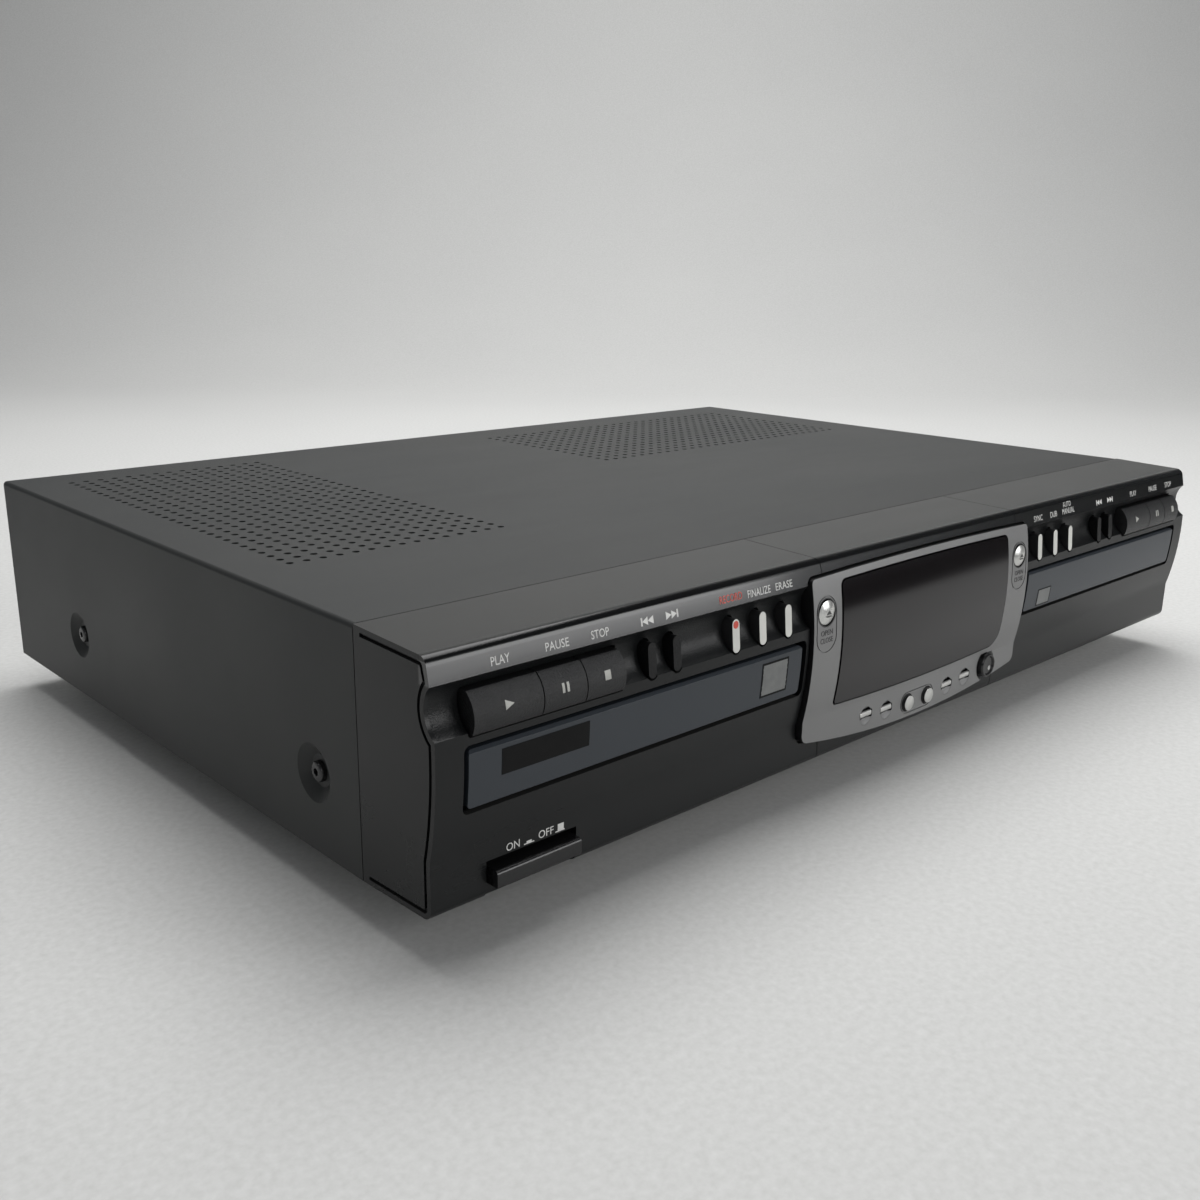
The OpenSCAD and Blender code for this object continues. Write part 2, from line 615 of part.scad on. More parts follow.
module display_bezel() color("#8f9092") case_frame() difference() {
    union() {
        difference() {
            intersection() {
                along_y(-20, -bezel_seat) polygon(bezel_outline());
                along_x(-bezel_w, bezel_w) polygon(bezel_side());
            }
            intersection() {
                along_y(-20, 0) polygon(bezel_outline(-1.5));
                along_x(-bezel_w, bezel_w) polygon(bezel_side(bezel_wall));
            }
        }
        for (s = [-1, 1]) translate([s * open_key_x, 0, open_key_z])
            along_y(-bezel_out + 1.4, -bezel_out + 3.8) circle(open_key_r + 1.4);
    }
    along_y(-20, 1) polygon(window_outline(window_gap));
    for (s = [-1, 1]) bezel_line(s * open_key_x - 5.4, open_key_z - 13.6, s * open_key_x + 5.4,
        open_key_z + 5.6, 5.3);
    bezel_line(-round_key_x - round_key_r - 1.1, round_key_z - round_key_r - 1.1, round_key_x + round_key_r + 1.1,
        round_key_z + round_key_r + 1.1, round_key_r + 1);
    for (s = [-1, 1]) translate([s * open_key_x, 0, open_key_z]) along_y(-20, 1) circle(open_key_r + key_gap);
    for (s = [-1, 1]) translate([s * round_key_x, 0, round_key_z]) along_y(-20, 1) circle(round_key_r + key_gap);
    for (s = [-1, 1], i = [0:1]) translate([s * small_key_x[i], 0, small_key_z[i]]) {
        along_y(-20, 1.4 - bezel_low_out) translate([0, -0.6]) circle(small_key_w / 2 + 0.2);
        along_y(-20, 1) polygon(soft_rect(-small_key_w / 2 - key_gap, -small_key_h / 2 - key_gap,
            small_key_w / 2 + key_gap, small_key_h / 2 + key_gap, 0.6));
    }
    translate([jog_x, 0, jog_z]) {
        along_y(-20, 1) circle(jog_bore_r);
        translate([0, -bezel_low_out - 0.01, 0]) rotate([-90, 0, 0])
            cylinder(h = 1.6, r1 = jog_bore_r + 1.2, r2 = jog_bore_r);
    }
}

module display_window() color("#1a191c") case_frame() difference() {
    intersection() {
        along_y(-20, 0) polygon(window_outline());
        along_x(-bezel_w, bezel_w) polygon(bezel_side(-0.3));
    }
    along_x(-bezel_w, bezel_w) polygon(bezel_side(window_t - 0.3));
}

tube_z = (window_low_z + bezel_top - window_top_drop) / 2;

module display_tube() color("#20262a") case_frame() union() {
    box(6 - window_hw, window_hw - 6, board_y - 7, board_y, tube_z - 17, tube_z + 17);
    box(9 - window_hw, window_hw - 9, board_y - 8, board_y - 6, tube_z - 14, tube_z + 14);
}

module key_switch(x, z) translate([x, 0, z]) {
    box(-3, 3, board_y - switch_h, board_y + 0.2, -3, 3);
    along_y(board_y - switch_h - button_h, board_y - switch_h + 0.2) circle(1.7);
}

// Left ends of the barrel keys on a deck, from the deck's first key to its last
function barrel_ends(start) = [start, start + play_w + key_gap, start + play_w + pause_w + 2 * key_gap];

barrel_widths = [play_w, pause_w, stop_w];
left_barrel = barrel_ends(-barrel_x - barrel_w);
right_barrel = barrel_ends(barrel_x);

module control_boards() color("#2f5a3a") case_frame() {
    union() {
        box(2.5 - bezel_hw, bezel_hw - 2.5, board_y, board_y + board_t, 5.5, bezel_top);
        for (s = [-1, 1]) {
            key_switch(s * open_key_x, open_key_z);
            key_switch(s * round_key_x, round_key_z);
            for (i = [0:1]) key_switch(s * small_key_x[i], small_key_z[i]);
        }
        difference() {
            union() {
                box(jog_x - 6, jog_x + 6, board_y - 6, board_y + 0.2, jog_z - 6, jog_z + 6);
                translate([jog_x, 0, jog_z]) along_y(board_y - 9, board_y - 5) circle(4);
            }
            translate([jog_x, 0, jog_z]) along_y(board_y - 10, board_y - 2) circle(3 + bore_play);
        }
    }
    for (s = [-1, 1]) union() {
        box(min(s * (tray_x - 65.5), s * (tray_x + 69.5)), max(s * (tray_x - 65.5), s * (tray_x + 69.5)), board_y,
            board_y + board_t, ledge_z - 1.5, body_h - 7);
        for (x = concat(white_fins, black_fins)) key_switch(s * x, fin_z);
        for (i = [0:2]) key_switch((s < 0 ? left_barrel : right_barrel)[i] + barrel_widths[i] / 2, barrel_z);
    }
}

// Keys

module key_stem(r = 1.5) along_y(key_wall_y, stem_end) circle(r);

module fin_key(x) case_frame() translate([x, 0, 0]) {
    intersection() {
        along_y(-20, key_wall_y + 0.2) fin_outline(0);
        along_x(-fin_w, fin_w) polygon([[0.5 - fin_out, fin_z + fin_h / 2], [-0.5 - fin_out, fin_z - fin_h / 2],
            [key_wall_y + 0.2, fin_z - fin_h / 2], [key_wall_y + 0.2, fin_z + fin_h / 2]]);
    }
    box(-fin_w / 2 - slot_gap - 0.8, fin_w / 2 + slot_gap + 0.8, key_wall_y, key_wall_y + flange_t,
        fin_z - fin_h / 2 - slot_gap - 0.8, fin_z + fin_h / 2 + slot_gap + 0.8);
    translate([0, 0, fin_z]) key_stem();
}

module barrel_key(x, w) case_frame() translate([x, 0, 0]) {
    along_x(0, w) intersection() {
        polygon(arc([barrel_r - barrel_out, barrel_z], barrel_r, 0, 360, 72));
        translate([-20, barrel_low]) square([20 + key_wall_y + 0.2, barrel_top - barrel_low]);
    }
    box(0, w, key_wall_y, key_wall_y + flange_t, barrel_low - barrel_gap - 0.9, barrel_top + barrel_gap + 0.9);
    translate([w / 2, 0, barrel_z]) key_stem();
}

module power_button() color("#202224") case_frame() {
    back = panel_wall - low_out;
    along_x(-power_x, power_w - power_x) polygon(concat([[back + 1, power_z], [back + 1, power_z + power_h]],
        arc([1.2 - power_out, power_z + power_h - 1.2], 1.2, 90, 180, 5),
        arc([0.6 - power_out, power_z + 0.6], 0.6, 180, 270, 4)));
    box(-power_x - 2.5, power_w - power_x + 2.5, back, back + 1.5, power_z + 0.2, power_z + power_h - 0.2);
    box(power_w / 2 - power_x - 2.5, power_w / 2 - power_x + 2.5, back + 1, switch_y + 3, power_z + 0.5,
        power_z + power_h - 0.5);
}

switch_y = panel_d - 20;

module power_switch() color("#4b4e52") case_frame() difference() {
    box(power_w / 2 - power_x - 6.5, power_w / 2 - power_x + 6.5, switch_y, panel_d, panel_wall + 1,
        power_z + power_h + 1);
    box(power_w / 2 - power_x - 2.9, power_w / 2 - power_x + 2.9, switch_y - 1, switch_y + 3 + power_travel + 1,
        power_z + 0.1, power_z + power_h - 0.1);
}

// Domed round key guided in the bezel: seat is the y of the guide's back face
module round_key(x, z, r, crest, seat, flange_w, flange_h) case_frame() translate([x, 0, z]) {
    intersection() {
        along_y(-crest, seat + 0.2) circle(r);
        translate([0, 2.2 * r - crest, 0]) sphere(2.2 * r, $fn = 64);
    }
    box(-flange_w / 2, flange_w / 2, seat, seat + 1, -flange_h / 2, flange_h / 2);
    along_y(seat + 0.5, stem_end) circle(1.6);
}

module open_key(s) round_key(s * open_key_x, open_key_z, open_key_r, bezel_out + open_key_proud, 3.8 - bezel_out,
    2 * open_key_r + 0.8, 2 * open_key_r + 1.6);

module bezel_round_key(s) round_key(s * round_key_x, round_key_z, round_key_r, bezel_low_out + 0.9, -key_seat,
    2 * round_key_r + 2.6, 4.4);

module small_key(s, i) case_frame() translate([s * small_key_x[i], 0, small_key_z[i]]) {
    along_x(-small_key_w / 2, small_key_w / 2) polygon(concat([[0.5 - key_seat, -small_key_h / 2],
        [0.5 - key_seat, small_key_h / 2]],
        arc([0.8 - bezel_low_out, small_key_h / 2 - 0.8], 0.8, 90, 180, 4),
        arc([0.8 - bezel_low_out, 0.8 - small_key_h / 2], 0.8, 180, 270, 4)));
    box(-small_key_w / 2 - 1, small_key_w / 2 + 1, -key_seat, 1 - key_seat, -2.1, 2.1);
    along_y(0.5 - key_seat, stem_end) circle(1.4);
}

module jog_knob() color("#141416") case_frame() translate([jog_x, 0, jog_z]) difference() {
    rotate([90, 0, 0]) rotate_extrude() polygon([[0, 3 - board_y], [3, 3 - board_y], [3, 1.2], [jog_r, 1.2],
        [jog_r, jog_out - 0.5], [jog_r - 0.5, jog_out], [jog_r - 1, jog_out], [jog_r - 1.4, jog_out - 0.6],
        [0, jog_out - 0.8]]);
    translate([1.5, -jog_out - 0.4, -1.3]) sphere(1.2);
}

// Loaders

module loader_frame(side) color("#33363a") deck(side) {
    difference() {
        union() {
            box(-loader_hw, loader_hw, loader_y, loader_y + loader_len, loader_low, loader_low + loader_t);
            for (s = [-1, 1]) {
                box(min(s * loader_hw, s * (loader_hw - loader_wall)),
                    max(s * loader_hw, s * (loader_hw - loader_wall)),
                    loader_y, loader_y + loader_len, loader_low, wall_top);
                for (z = [-rail_gap - 2, 2 + rail_gap])
                    box(min(s * (loader_hw - 1), s * (tray_w / 2 + 0.4)),
                        max(s * (loader_hw - 1), s * (tray_w / 2 + 0.4)),
                        loader_y, loader_y + loader_len, tray_low + 3 + z, tray_low + 5 + z);
                box(s * 48.5 - 2, s * 48.5 + 2, hinge_y - 5, hinge_y + 5, loader_low, hinge_z + 5);
                box(s * 36 - 5, s * 36 + 5, engine_y - 2, engine_y + 4, loader_low, engine_low);
            }
            box(-loader_hw, loader_hw, loader_y, loader_y + 2, loader_low, loader_low + 14);
            box(-loader_hw, loader_hw, loader_y + loader_len - 2, loader_y + loader_len, loader_low, wall_top);
        }
        box(-46, 46, engine_y + 4, hinge_y + 8, loader_low - 1, loader_low + loader_t + 0.01);
        along_x(-60, 60) translate([hinge_y, hinge_z]) circle(2 + bore_play);
    }
    translate([rack_x + pitch_r, gear_y, loader_low + loader_t / 2]) {
        cylinder(h = tray_low - rack_h + 0.2 - loader_low - loader_t / 2, r = 4);
        cylinder(h = tray_low - 0.3 - loader_low - loader_t / 2, r = 2);
    }
}

module left_loader_frame() loader_frame(-1);
module right_loader_frame() loader_frame(1);

module clamp_bridges() color("#9a9da1") for (side = [-1, 1]) deck(side) difference() {
    union() {
        box(-loader_hw, loader_hw, disc_y - 20, disc_y + 20, wall_top, wall_top + 1.5);
        for (s = [-1, 1])
            box(-loader_hw, loader_hw, disc_y + s * 19 - 1, disc_y + s * 19 + 1, wall_top, wall_top + 5);
    }
    translate([0, disc_y, wall_top - 1]) cylinder(h = 5, r = 9);
}

module clamp(side) color("#1d1e20") deck(side) translate([0, disc_y, wall_top]) rotate_extrude()
    polygon([[0, -4.6], [7, -4.6], [7, -3.6], [12, -3.6], [12, -4.6], [15, -4.6], [15, -2.4], [8, -2.4], [8, 1.5],
        [11, 1.5], [11, 3], [0, 3]]);

module left_clamp() clamp(-1);
module right_clamp() clamp(1);

// Involute gear outline, thinned by the backlash on each flank
function involute(rb, a) = [rb * (cos(a) + a * PI / 180 * sin(a)), rb * (sin(a) - a * PI / 180 * cos(a))];
function turn(p, a) = [p[0] * cos(a) - p[1] * sin(a), p[0] * sin(a) + p[1] * cos(a)];
pressure = 20;
backlash = 0.15;
base_r = pitch_r * cos(pressure);
tip_r = pitch_r + 0.9 * gear_module;
root_r = pitch_r - 1.25 * gear_module;
flank_end = sqrt(pow(tip_r / base_r, 2) - 1) * 180 / PI;
half_tooth = 90 / gear_teeth + tan(pressure) * 180 / PI - pressure - backlash / pitch_r * 180 / PI;

function gear_tooth() =
    let (low = root_r * 1.0,
         flank = [for (i = [0:4]) involute(base_r, flank_end * i / 4)])
    concat([turn([low, 0], -half_tooth)], [for (p = flank) turn(p, -half_tooth)],
           [for (i = [4:-1:0]) turn([flank[i][0], -flank[i][1]], half_tooth)], [turn([low, 0], half_tooth)]);

module tray_gear(side) color("#d8d4c8") deck(side) translate([rack_x + pitch_r, gear_y, tray_low - rack_h + 0.2])
    linear_extrude(rack_h - 0.5) difference() {
        rotate(180) polygon([for (k = [0:gear_teeth - 1]) for (p = gear_tooth()) turn(p, k * 360 / gear_teeth)]);
        circle(2 + bore_play);
    }

module left_tray_gear() tray_gear(-1);
module right_tray_gear() tray_gear(1);

rack_pitch = PI * gear_module;

// Straight-sided teeth facing +x; the gear's tooth stands in the gap at gear_y
module tray_rack() {
    teeth = floor((tray_travel + 12) / rack_pitch);
    top = rack_pitch / 4 - tan(pressure) * 0.9 * gear_module - backlash;
    low = rack_pitch / 4 + tan(pressure) * 1.15 * gear_module - backlash;
    translate([rack_x, gear_y - 2 * rack_pitch, tray_low - rack_h]) linear_extrude(rack_h + 0.5)
        polygon(concat([[-5, -2], [-1.15 * gear_module, -2]],
            [for (i = [0:teeth]) for (p = [[-1.15, -low], [0.9, -top], [0.9, top], [-1.15, low]])
                [p[0] * gear_module, p[1] + (i + 0.5) * rack_pitch]],
            [[-1.15 * gear_module, (teeth + 1) * rack_pitch + 2], [-5, (teeth + 1) * rack_pitch + 2]]));
}

module tray(side) color("#2b2d30") deck(side) {
    difference() {
        union() {
            box(-tray_w / 2, tray_w / 2, tray_y, tray_y + tray_len, tray_low, tray_low + tray_h);
            box(-tray_w / 2 - 1.5, tray_w / 2 + 1.5, tray_y + 12, tray_y + tray_len, tray_low + 3, tray_low + 5);
        }
        translate([0, disc_y, tray_low + tray_h - disc_depth]) cylinder(h = disc_depth + 1, r = disc_r, $fn = 96);
        translate([0, disc_y, tray_low + tray_h - disc_depth - 1]) cylinder(h = 3, r = 41, $fn = 72);
        translate([0, disc_y, tray_low - 1]) cylinder(h = tray_h, r = 19);
        box(-17, 17, disc_y, disc_y + 56, tray_low - 1, tray_low + tray_h);
        box(-tray_w / 2 + 12, tray_w / 2 - 12, disc_y + disc_r + 8, tray_y + tray_len + 1, tray_low - 1,
            tray_low + tray_h + 1);
        for (s = [-1, 1]) box(min(s * 34, s * 80), max(s * 34, s * 80), disc_y - 9, disc_y + 9,
            tray_low + tray_h - disc_depth, tray_low + tray_h + 1);
    }
    tray_rack();
}

module left_tray() tray(-1);
module right_tray() tray(1);

module tray_front(side) color("#4a4e54") deck(side) intersection() {
    along_x(-tray_front_w / 2, tray_front_w / 2) intersection() {
        polygon(panel_outline());
        translate([-20, tray_z - tray_front_h / 2]) square([20 + tray_y, tray_front_h]);
        polygon([[-20, 0], [tray_y, 0], [tray_y, body_h], [0, body_h],
            [-belly_out + 0.9, tray_z + tray_front_h / 2 + 0.01], [-belly_out, tray_z + tray_front_h / 2 - 0.9],
            [-20, tray_z + tray_front_h / 2 - 0.9]]);
    }
    along_y(-20, tray_y) translate([0, tray_z]) polygon(soft_rect(-tray_front_w / 2, -tray_front_h / 2,
        tray_front_w / 2, tray_front_h / 2, 1.2));
}

module left_tray_front() tray_front(-1);
module right_tray_front() tray_front(1);

// Disc engine: a plate on two trunnions with the spindle motor and the pickup's guide rods
rod_x = 19;
block_y = lens_y - 12;

module engine(side) color("#8a8d90") deck(side) {
    difference() {
        box(-engine_hw, engine_hw, engine_y, hinge_y + 4, engine_low, engine_low + engine_t);
        box(-23, 23, block_y - 0.5, block_y + 24 + pickup_travel + 0.5, engine_low - 1, engine_low + engine_t + 1);
    }
    along_x(-51, 51) translate([hinge_y, hinge_z]) intersection() {
        circle(2);
        square(10, center = true);
    }
    translate([0, disc_y, engine_low + engine_t / 2]) {
        cylinder(h = motor_top - engine_low - engine_t / 2, r = 12);
        cylinder(h = motor_top - engine_low - engine_t / 2 + 4.3, r = 1.5);
    }
    for (s = [-1, 1]) translate([s * rod_x, 0, 0]) {
        for (y = [block_y - 5, block_y + 24 + pickup_travel + 1])
            box(-3, 3, y, y + 4, engine_low + engine_t / 2, rod_z + 3.5);
        translate([0, 0, rod_z]) along_y(block_y - 3, block_y + 24 + pickup_travel + 3) circle(1.5);
    }
}

module left_engine() engine(-1);
module right_engine() engine(1);

module turntable(side) color("#202124") deck(side) translate([0, disc_y, motor_top]) rotate_extrude()
    polygon([[1.5 + bore_play, 0], [15, 0], [15, 1.8], [8.5, 1.8], [8.5, 1.4], [7.3, 1.4], [7.3, 3], [5.4, 5],
        [0, 5], [0, 4.5], [1.5 + bore_play, 4.5]]);

module left_turntable() turntable(-1);
module right_turntable() turntable(1);

module pickup(side) color("#55585c") deck(side) difference() {
    union() {
        box(-22.5, 22.5, block_y, block_y + 24, engine_low - 3, rod_z + 3);
        translate([0, lens_y, rod_z]) cylinder(h = 6, r = 6);
    }
    for (s = [-1, 1]) translate([s * rod_x, 0, rod_z]) along_y(block_y - 1, block_y + 25) circle(1.5 + bore_play);
    translate([0, lens_y, rod_z + 5]) cylinder(h = 2, r = 3);
}

module left_pickup() pickup(-1);
module right_pickup() pickup(1);

// Boards

module main_board() color("#2d5c3c") case_frame() {
    z = low_board_z + board_t;
    k = board_hw / 60;
    box(-board_hw, board_hw, 142, rear_y - base_t - 3, low_board_z, z);
    box(-wing_x, wing_x, wing_y, rear_y - base_t - 3, low_board_z, z);
    box(-18 * k, 10 * k, 170, 198, z - 0.2, z + 2.6);
    box(20 * k, 40 * k, 164, 184, z - 0.2, z + 2.4);
    box(-46 * k, -30 * k, 210, 222, z - 0.2, z + 2.2);
    for (x = [-1, 0, 1]) box((40 * x - 12) * k, (40 * x + 12) * k, 144, 149, z - 0.2, z + 7);
    for (x = [24, 38, 52]) translate([x * k, 224, z - 0.2]) cylinder(h = 11, r = 4 * k);
}

module power_supply() color("#3c6a3e") case_frame() {
    z = low_board_z + board_t;
    k = board_hw / 60;
    box(2 - board_hw, board_hw - 2, 44, 130, low_board_z, z);
    box(-44 * k, 0, 74, 112, z - 0.2, z + 30);
    for (x = [16, 38]) translate([x * k, 62, z - 0.2]) cylinder(h = 26, r = 8 * k);
    for (i = [0:5]) box((12 + i * 7) * k, (14 + i * 7) * k, 92, 122, z + 3, z + 28);
    box(12 * k, 49 * k, 92, 122, z - 0.2, z + 4);
    box(-50 * k, -20 * k, 50, 62, z - 0.2, z + 12);
}

// Named keys

module left_play_key() color("#232527") barrel_key(left_barrel[0], play_w);
module left_pause_key() color("#232527") barrel_key(left_barrel[1], pause_w);
module left_stop_key() color("#232527") barrel_key(left_barrel[2], stop_w);
module left_previous_key() color("#232527") fin_key(-black_fins[1]);
module left_next_key() color("#232527") fin_key(-black_fins[0]);
module record_key() color("#d8d8d0") fin_key(-white_fins[2]);
module finalize_key() color("#d8d8d0") fin_key(-white_fins[1]);
module erase_key() color("#d8d8d0") fin_key(-white_fins[0]);
module right_play_key() color("#232527") barrel_key(right_barrel[0], play_w);
module right_pause_key() color("#232527") barrel_key(right_barrel[1], pause_w);
module right_stop_key() color("#232527") barrel_key(right_barrel[2], stop_w);
module right_previous_key() color("#232527") fin_key(black_fins[0]);
module right_next_key() color("#232527") fin_key(black_fins[1]);
module sync_key() color("#d8d8d0") fin_key(white_fins[0]);
module dub_key() color("#d8d8d0") fin_key(white_fins[1]);
module manual_key() color("#d8d8d0") fin_key(white_fins[2]);
module left_open_key() color("#c4c4c2") open_key(-1);
module right_open_key() color("#c4c4c2") open_key(1);
module small_key_1() color("#c4c4c2") small_key(-1, 0);
module small_key_2() color("#c4c4c2") small_key(-1, 1);
module small_key_3() color("#c4c4c2") small_key(1, 1);
module small_key_4() color("#c4c4c2") small_key(1, 0);
module round_key_1() color("#c4c4c2") bezel_round_key(-1);
module round_key_2() color("#c4c4c2") bezel_round_key(1);

base_chassis();
rear_panel();
top_cover();
case_screws();
feet();
left_front_panel();
centre_front_panel();
right_front_panel();
display_bezel();
display_window();
display_tube();
control_boards();
power_switch();
main_board();
power_supply();
signal_jacks();
mains_inlet();
left_loader_frame();
right_loader_frame();
clamp_bridges();
left_tray();
left_tray_front();
right_tray();
right_tray_front();
left_tray_gear();
right_tray_gear();
left_engine();
right_engine();
left_turntable();
right_turntable();
left_pickup();
right_pickup();
left_clamp();
right_clamp();
power_button();
left_play_key();
left_pause_key();
left_stop_key();
left_previous_key();
left_next_key();
record_key();
finalize_key();
erase_key();
right_play_key();
right_pause_key();
right_stop_key();
right_previous_key();
right_next_key();
sync_key();
dub_key();
manual_key();
left_open_key();
right_open_key();
small_key_1();
small_key_2();
small_key_3();
small_key_4();
round_key_1();
round_key_2();
jog_knob();
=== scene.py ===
import bpy
import numpy as np
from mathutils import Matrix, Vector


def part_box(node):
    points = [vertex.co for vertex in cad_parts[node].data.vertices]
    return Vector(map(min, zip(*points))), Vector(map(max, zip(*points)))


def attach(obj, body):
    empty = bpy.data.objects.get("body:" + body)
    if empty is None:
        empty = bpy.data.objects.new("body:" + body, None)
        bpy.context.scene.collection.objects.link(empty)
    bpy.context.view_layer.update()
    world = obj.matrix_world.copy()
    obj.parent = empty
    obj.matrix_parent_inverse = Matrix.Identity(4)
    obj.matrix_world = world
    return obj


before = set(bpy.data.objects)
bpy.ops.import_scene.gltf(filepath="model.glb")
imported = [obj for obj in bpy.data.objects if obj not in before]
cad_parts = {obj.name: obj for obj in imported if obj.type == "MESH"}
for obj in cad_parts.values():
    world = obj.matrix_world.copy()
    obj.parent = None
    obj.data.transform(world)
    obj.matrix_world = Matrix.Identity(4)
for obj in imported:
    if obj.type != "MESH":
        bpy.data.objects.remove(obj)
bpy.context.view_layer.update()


# The view
# The recorder is seen from its front left corner, on a pale paper sheet that sweeps up behind it. A broad
# soft lamp hangs over it, with one for the sheet, one low in front and a weak fill; a dark cloth card out
# of view gives the gloss black front something dark to mirror at its right.

def put_in_scene(name, data):
    """A new object at the origin that holds the given data."""
    made = bpy.data.objects.new(name, data)
    bpy.context.scene.collection.objects.link(made)
    return made


camera = put_in_scene("front_left_view", bpy.data.cameras.new("front_left_view"))
camera.location = (-0.3801586, -0.3872817, 0.1813190)
camera.rotation_euler = (1.29769003, -0.01267518, -0.74804115)
camera.data.sensor_width = 36.0
camera.data.lens = 36.9502
camera.data.clip_start = 0.01
bpy.context.scene.camera = camera
bpy.context.scene.view_settings.view_transform = "Standard"


def hang_lamp(name, place, aim, width, height, watts):
    """A rectangular lamp with its face turned from its place toward a point."""
    lamp = put_in_scene(name, bpy.data.lights.new(name, "AREA"))
    lamp.data.shape = "RECTANGLE"
    lamp.data.size = width
    lamp.data.size_y = height
    lamp.data.energy = watts
    lamp.location = place
    toward = np.array(aim) - np.array(place)
    lamp.rotation_euler = (np.arctan2(np.hypot(toward[0], toward[1]), -toward[2]), 0.0,
                           np.arctan2(-toward[0], toward[1]))


hang_lamp("ceiling_lamp", (0.22, 0.24, 1.25), (0.20, 0.20, 0.0), 1.15, 1.1, 19.0)
hang_lamp("backdrop_lamp", (0.75, 0.60, 1.70), (1.75, 1.60, 0.95), 1.2, 1.2, 11.5)
hang_lamp("front_lamp", (0.785, -1.37, 0.52), (0.04, -0.05, 0.32), 0.79, 0.85, 9.0)
hang_lamp("fill_lamp", (-0.55, -1.45, 0.75), (-0.10, -0.20, 0.0), 1.2, 0.7, 2.6)


def add_node(tree, kind, inputs=(), **settings):
    """One node in a tree; inputs maps a socket's name or number to a value or to the socket feeding it."""
    node = tree.nodes.new(kind)
    for key, value in settings.items():
        setattr(node, key, value)
    for key, value in dict(inputs).items():
        if isinstance(value, bpy.types.NodeSocket):
            tree.links.new(value, node.inputs[key])
        else:
            node.inputs[key].default_value = value
    return node


def ramp(tree, value, low=0.0, high=1.0, to_low=0.0, to_high=1.0):
    """A value carried in a straight line from low..high to to_low..to_high, and held beyond both ends."""
    node = add_node(tree, "ShaderNodeMapRange", {"Value": value, "From Min": low, "From Max": high,
                                                 "To Min": to_low, "To Max": to_high})
    return node.outputs[0]


def axes_of(tree, vector):
    """A vector's three parts, X, Y and Z."""
    return add_node(tree, "ShaderNodeSeparateXYZ", {0: vector}).outputs


def mix_colour(tree, factor, first, second, blend="MIX"):
    """The colour between two others; any of the three may be a value or a socket."""
    return add_node(tree, "ShaderNodeMix", {0: factor, 6: first, 7: second}, data_type="RGBA",
                    blend_type=blend).outputs[2]


HORIZON = (0.086, 0.095, 0.106, 1.0)
CEILING = (0.15, 0.153, 0.158, 1.0)
WALL_FOOT, WALL_TOP = 0.05, 0.6
world = bpy.data.worlds.new("soft_room")
world.use_nodes = True
tree = world.node_tree
rise = axes_of(tree, add_node(tree, "ShaderNodeTexCoord").outputs["Generated"])["Z"]
tree.links.new(mix_colour(tree, ramp(tree, rise, WALL_FOOT, WALL_TOP), HORIZON, CEILING),
               tree.nodes["Background"].inputs["Color"])
bpy.context.scene.world = world


def quads_over(index):
    """The four corners of every cell of a grid of point numbers, or of a stack of such grids."""
    corners = [index[..., :-1, :-1], index[..., :-1, 1:], index[..., 1:, 1:], index[..., 1:, :-1]]
    return np.stack(corners, axis=-1).reshape(-1, 4)


def grid_piece(name, points, wrap=False):
    """Quads over an array of points (rows, columns, 3); wrap joins the last column to the first."""
    rows, columns = points.shape[:2]
    index = np.arange(rows * columns).reshape(rows, columns)
    if wrap:
        index = np.concatenate([index, index[:, :1]], axis=1)
    mesh = bpy.data.meshes.new(name)
    mesh.from_pydata(points.reshape(-1, 3), [], quads_over(index))
    mesh.shade_smooth()
    return put_in_scene(name, mesh)


def paper_sheet():
    """A profile in (distance, height): flat, a quarter turn of sweep_r, then upright; carried sideways."""
    sweep_r, start, wall_at, wall_top, half_width = 1.1, -2.0, 2.2, 2.6, 3.4
    turn = np.linspace(0.0, np.pi / 2, 24)
    flat = np.linspace(start, wall_at - sweep_r, 12)[:-1]
    distance = np.concatenate([flat, wall_at - sweep_r + sweep_r * np.sin(turn), [wall_at]])
    height = np.concatenate([np.zeros_like(flat), sweep_r - sweep_r * np.cos(turn), [wall_top]])
    side = np.linspace(-half_width, half_width, 9)
    heading = -camera.rotation_euler[2]
    along = np.array([np.sin(heading), np.cos(heading), 0.0])
    across = np.array([np.cos(heading), -np.sin(heading), 0.0])
    points = (distance[:, None, None] * along + side[None, :, None] * across
              + height[:, None, None] * np.array([0.0, 0.0, 1.0]))
    return grid_piece("paper_sheet", points)


def place_on(tree):
    """Where a point of the surface lies in the part's own frame."""
    return add_node(tree, "ShaderNodeTexCoord").outputs["Object"]


def noise(tree, place, scale, detail=2.0, roughness=0.5):
    """A soft random value from 0 to 1, with scale waves to the metre and detail finer ones on them."""
    return add_node(tree, "ShaderNodeTexNoise", {"Vector": place, "Scale": scale, "Detail": detail,
                                                 "Roughness": roughness}).outputs["Fac"]


MOTTLE, FIBRE = 0.24, 0.06
paper = bpy.data.materials.new("mottled_paper")
paper.use_nodes = True
tree = paper.node_tree
place = place_on(tree)
tone = mix_colour(tree, noise(tree, place, 3.0, 3.0), (0.61, 0.61, 0.60, 1.0), (0.66, 0.66, 0.645, 1.0))
tone = mix_colour(tree, MOTTLE, tone, noise(tree, place, 420.0, 6.0), "OVERLAY")
tone = mix_colour(tree, FIBRE, tone, noise(tree, place, 900.0), "OVERLAY")
shader = tree.nodes["Principled BSDF"]
tree.links.new(tone, shader.inputs["Base Color"])
shader.inputs["Roughness"].default_value = 0.85
shader.inputs["Specular IOR Level"].default_value = 0.15
sheet = paper_sheet()
sheet.data.materials.append(paper)


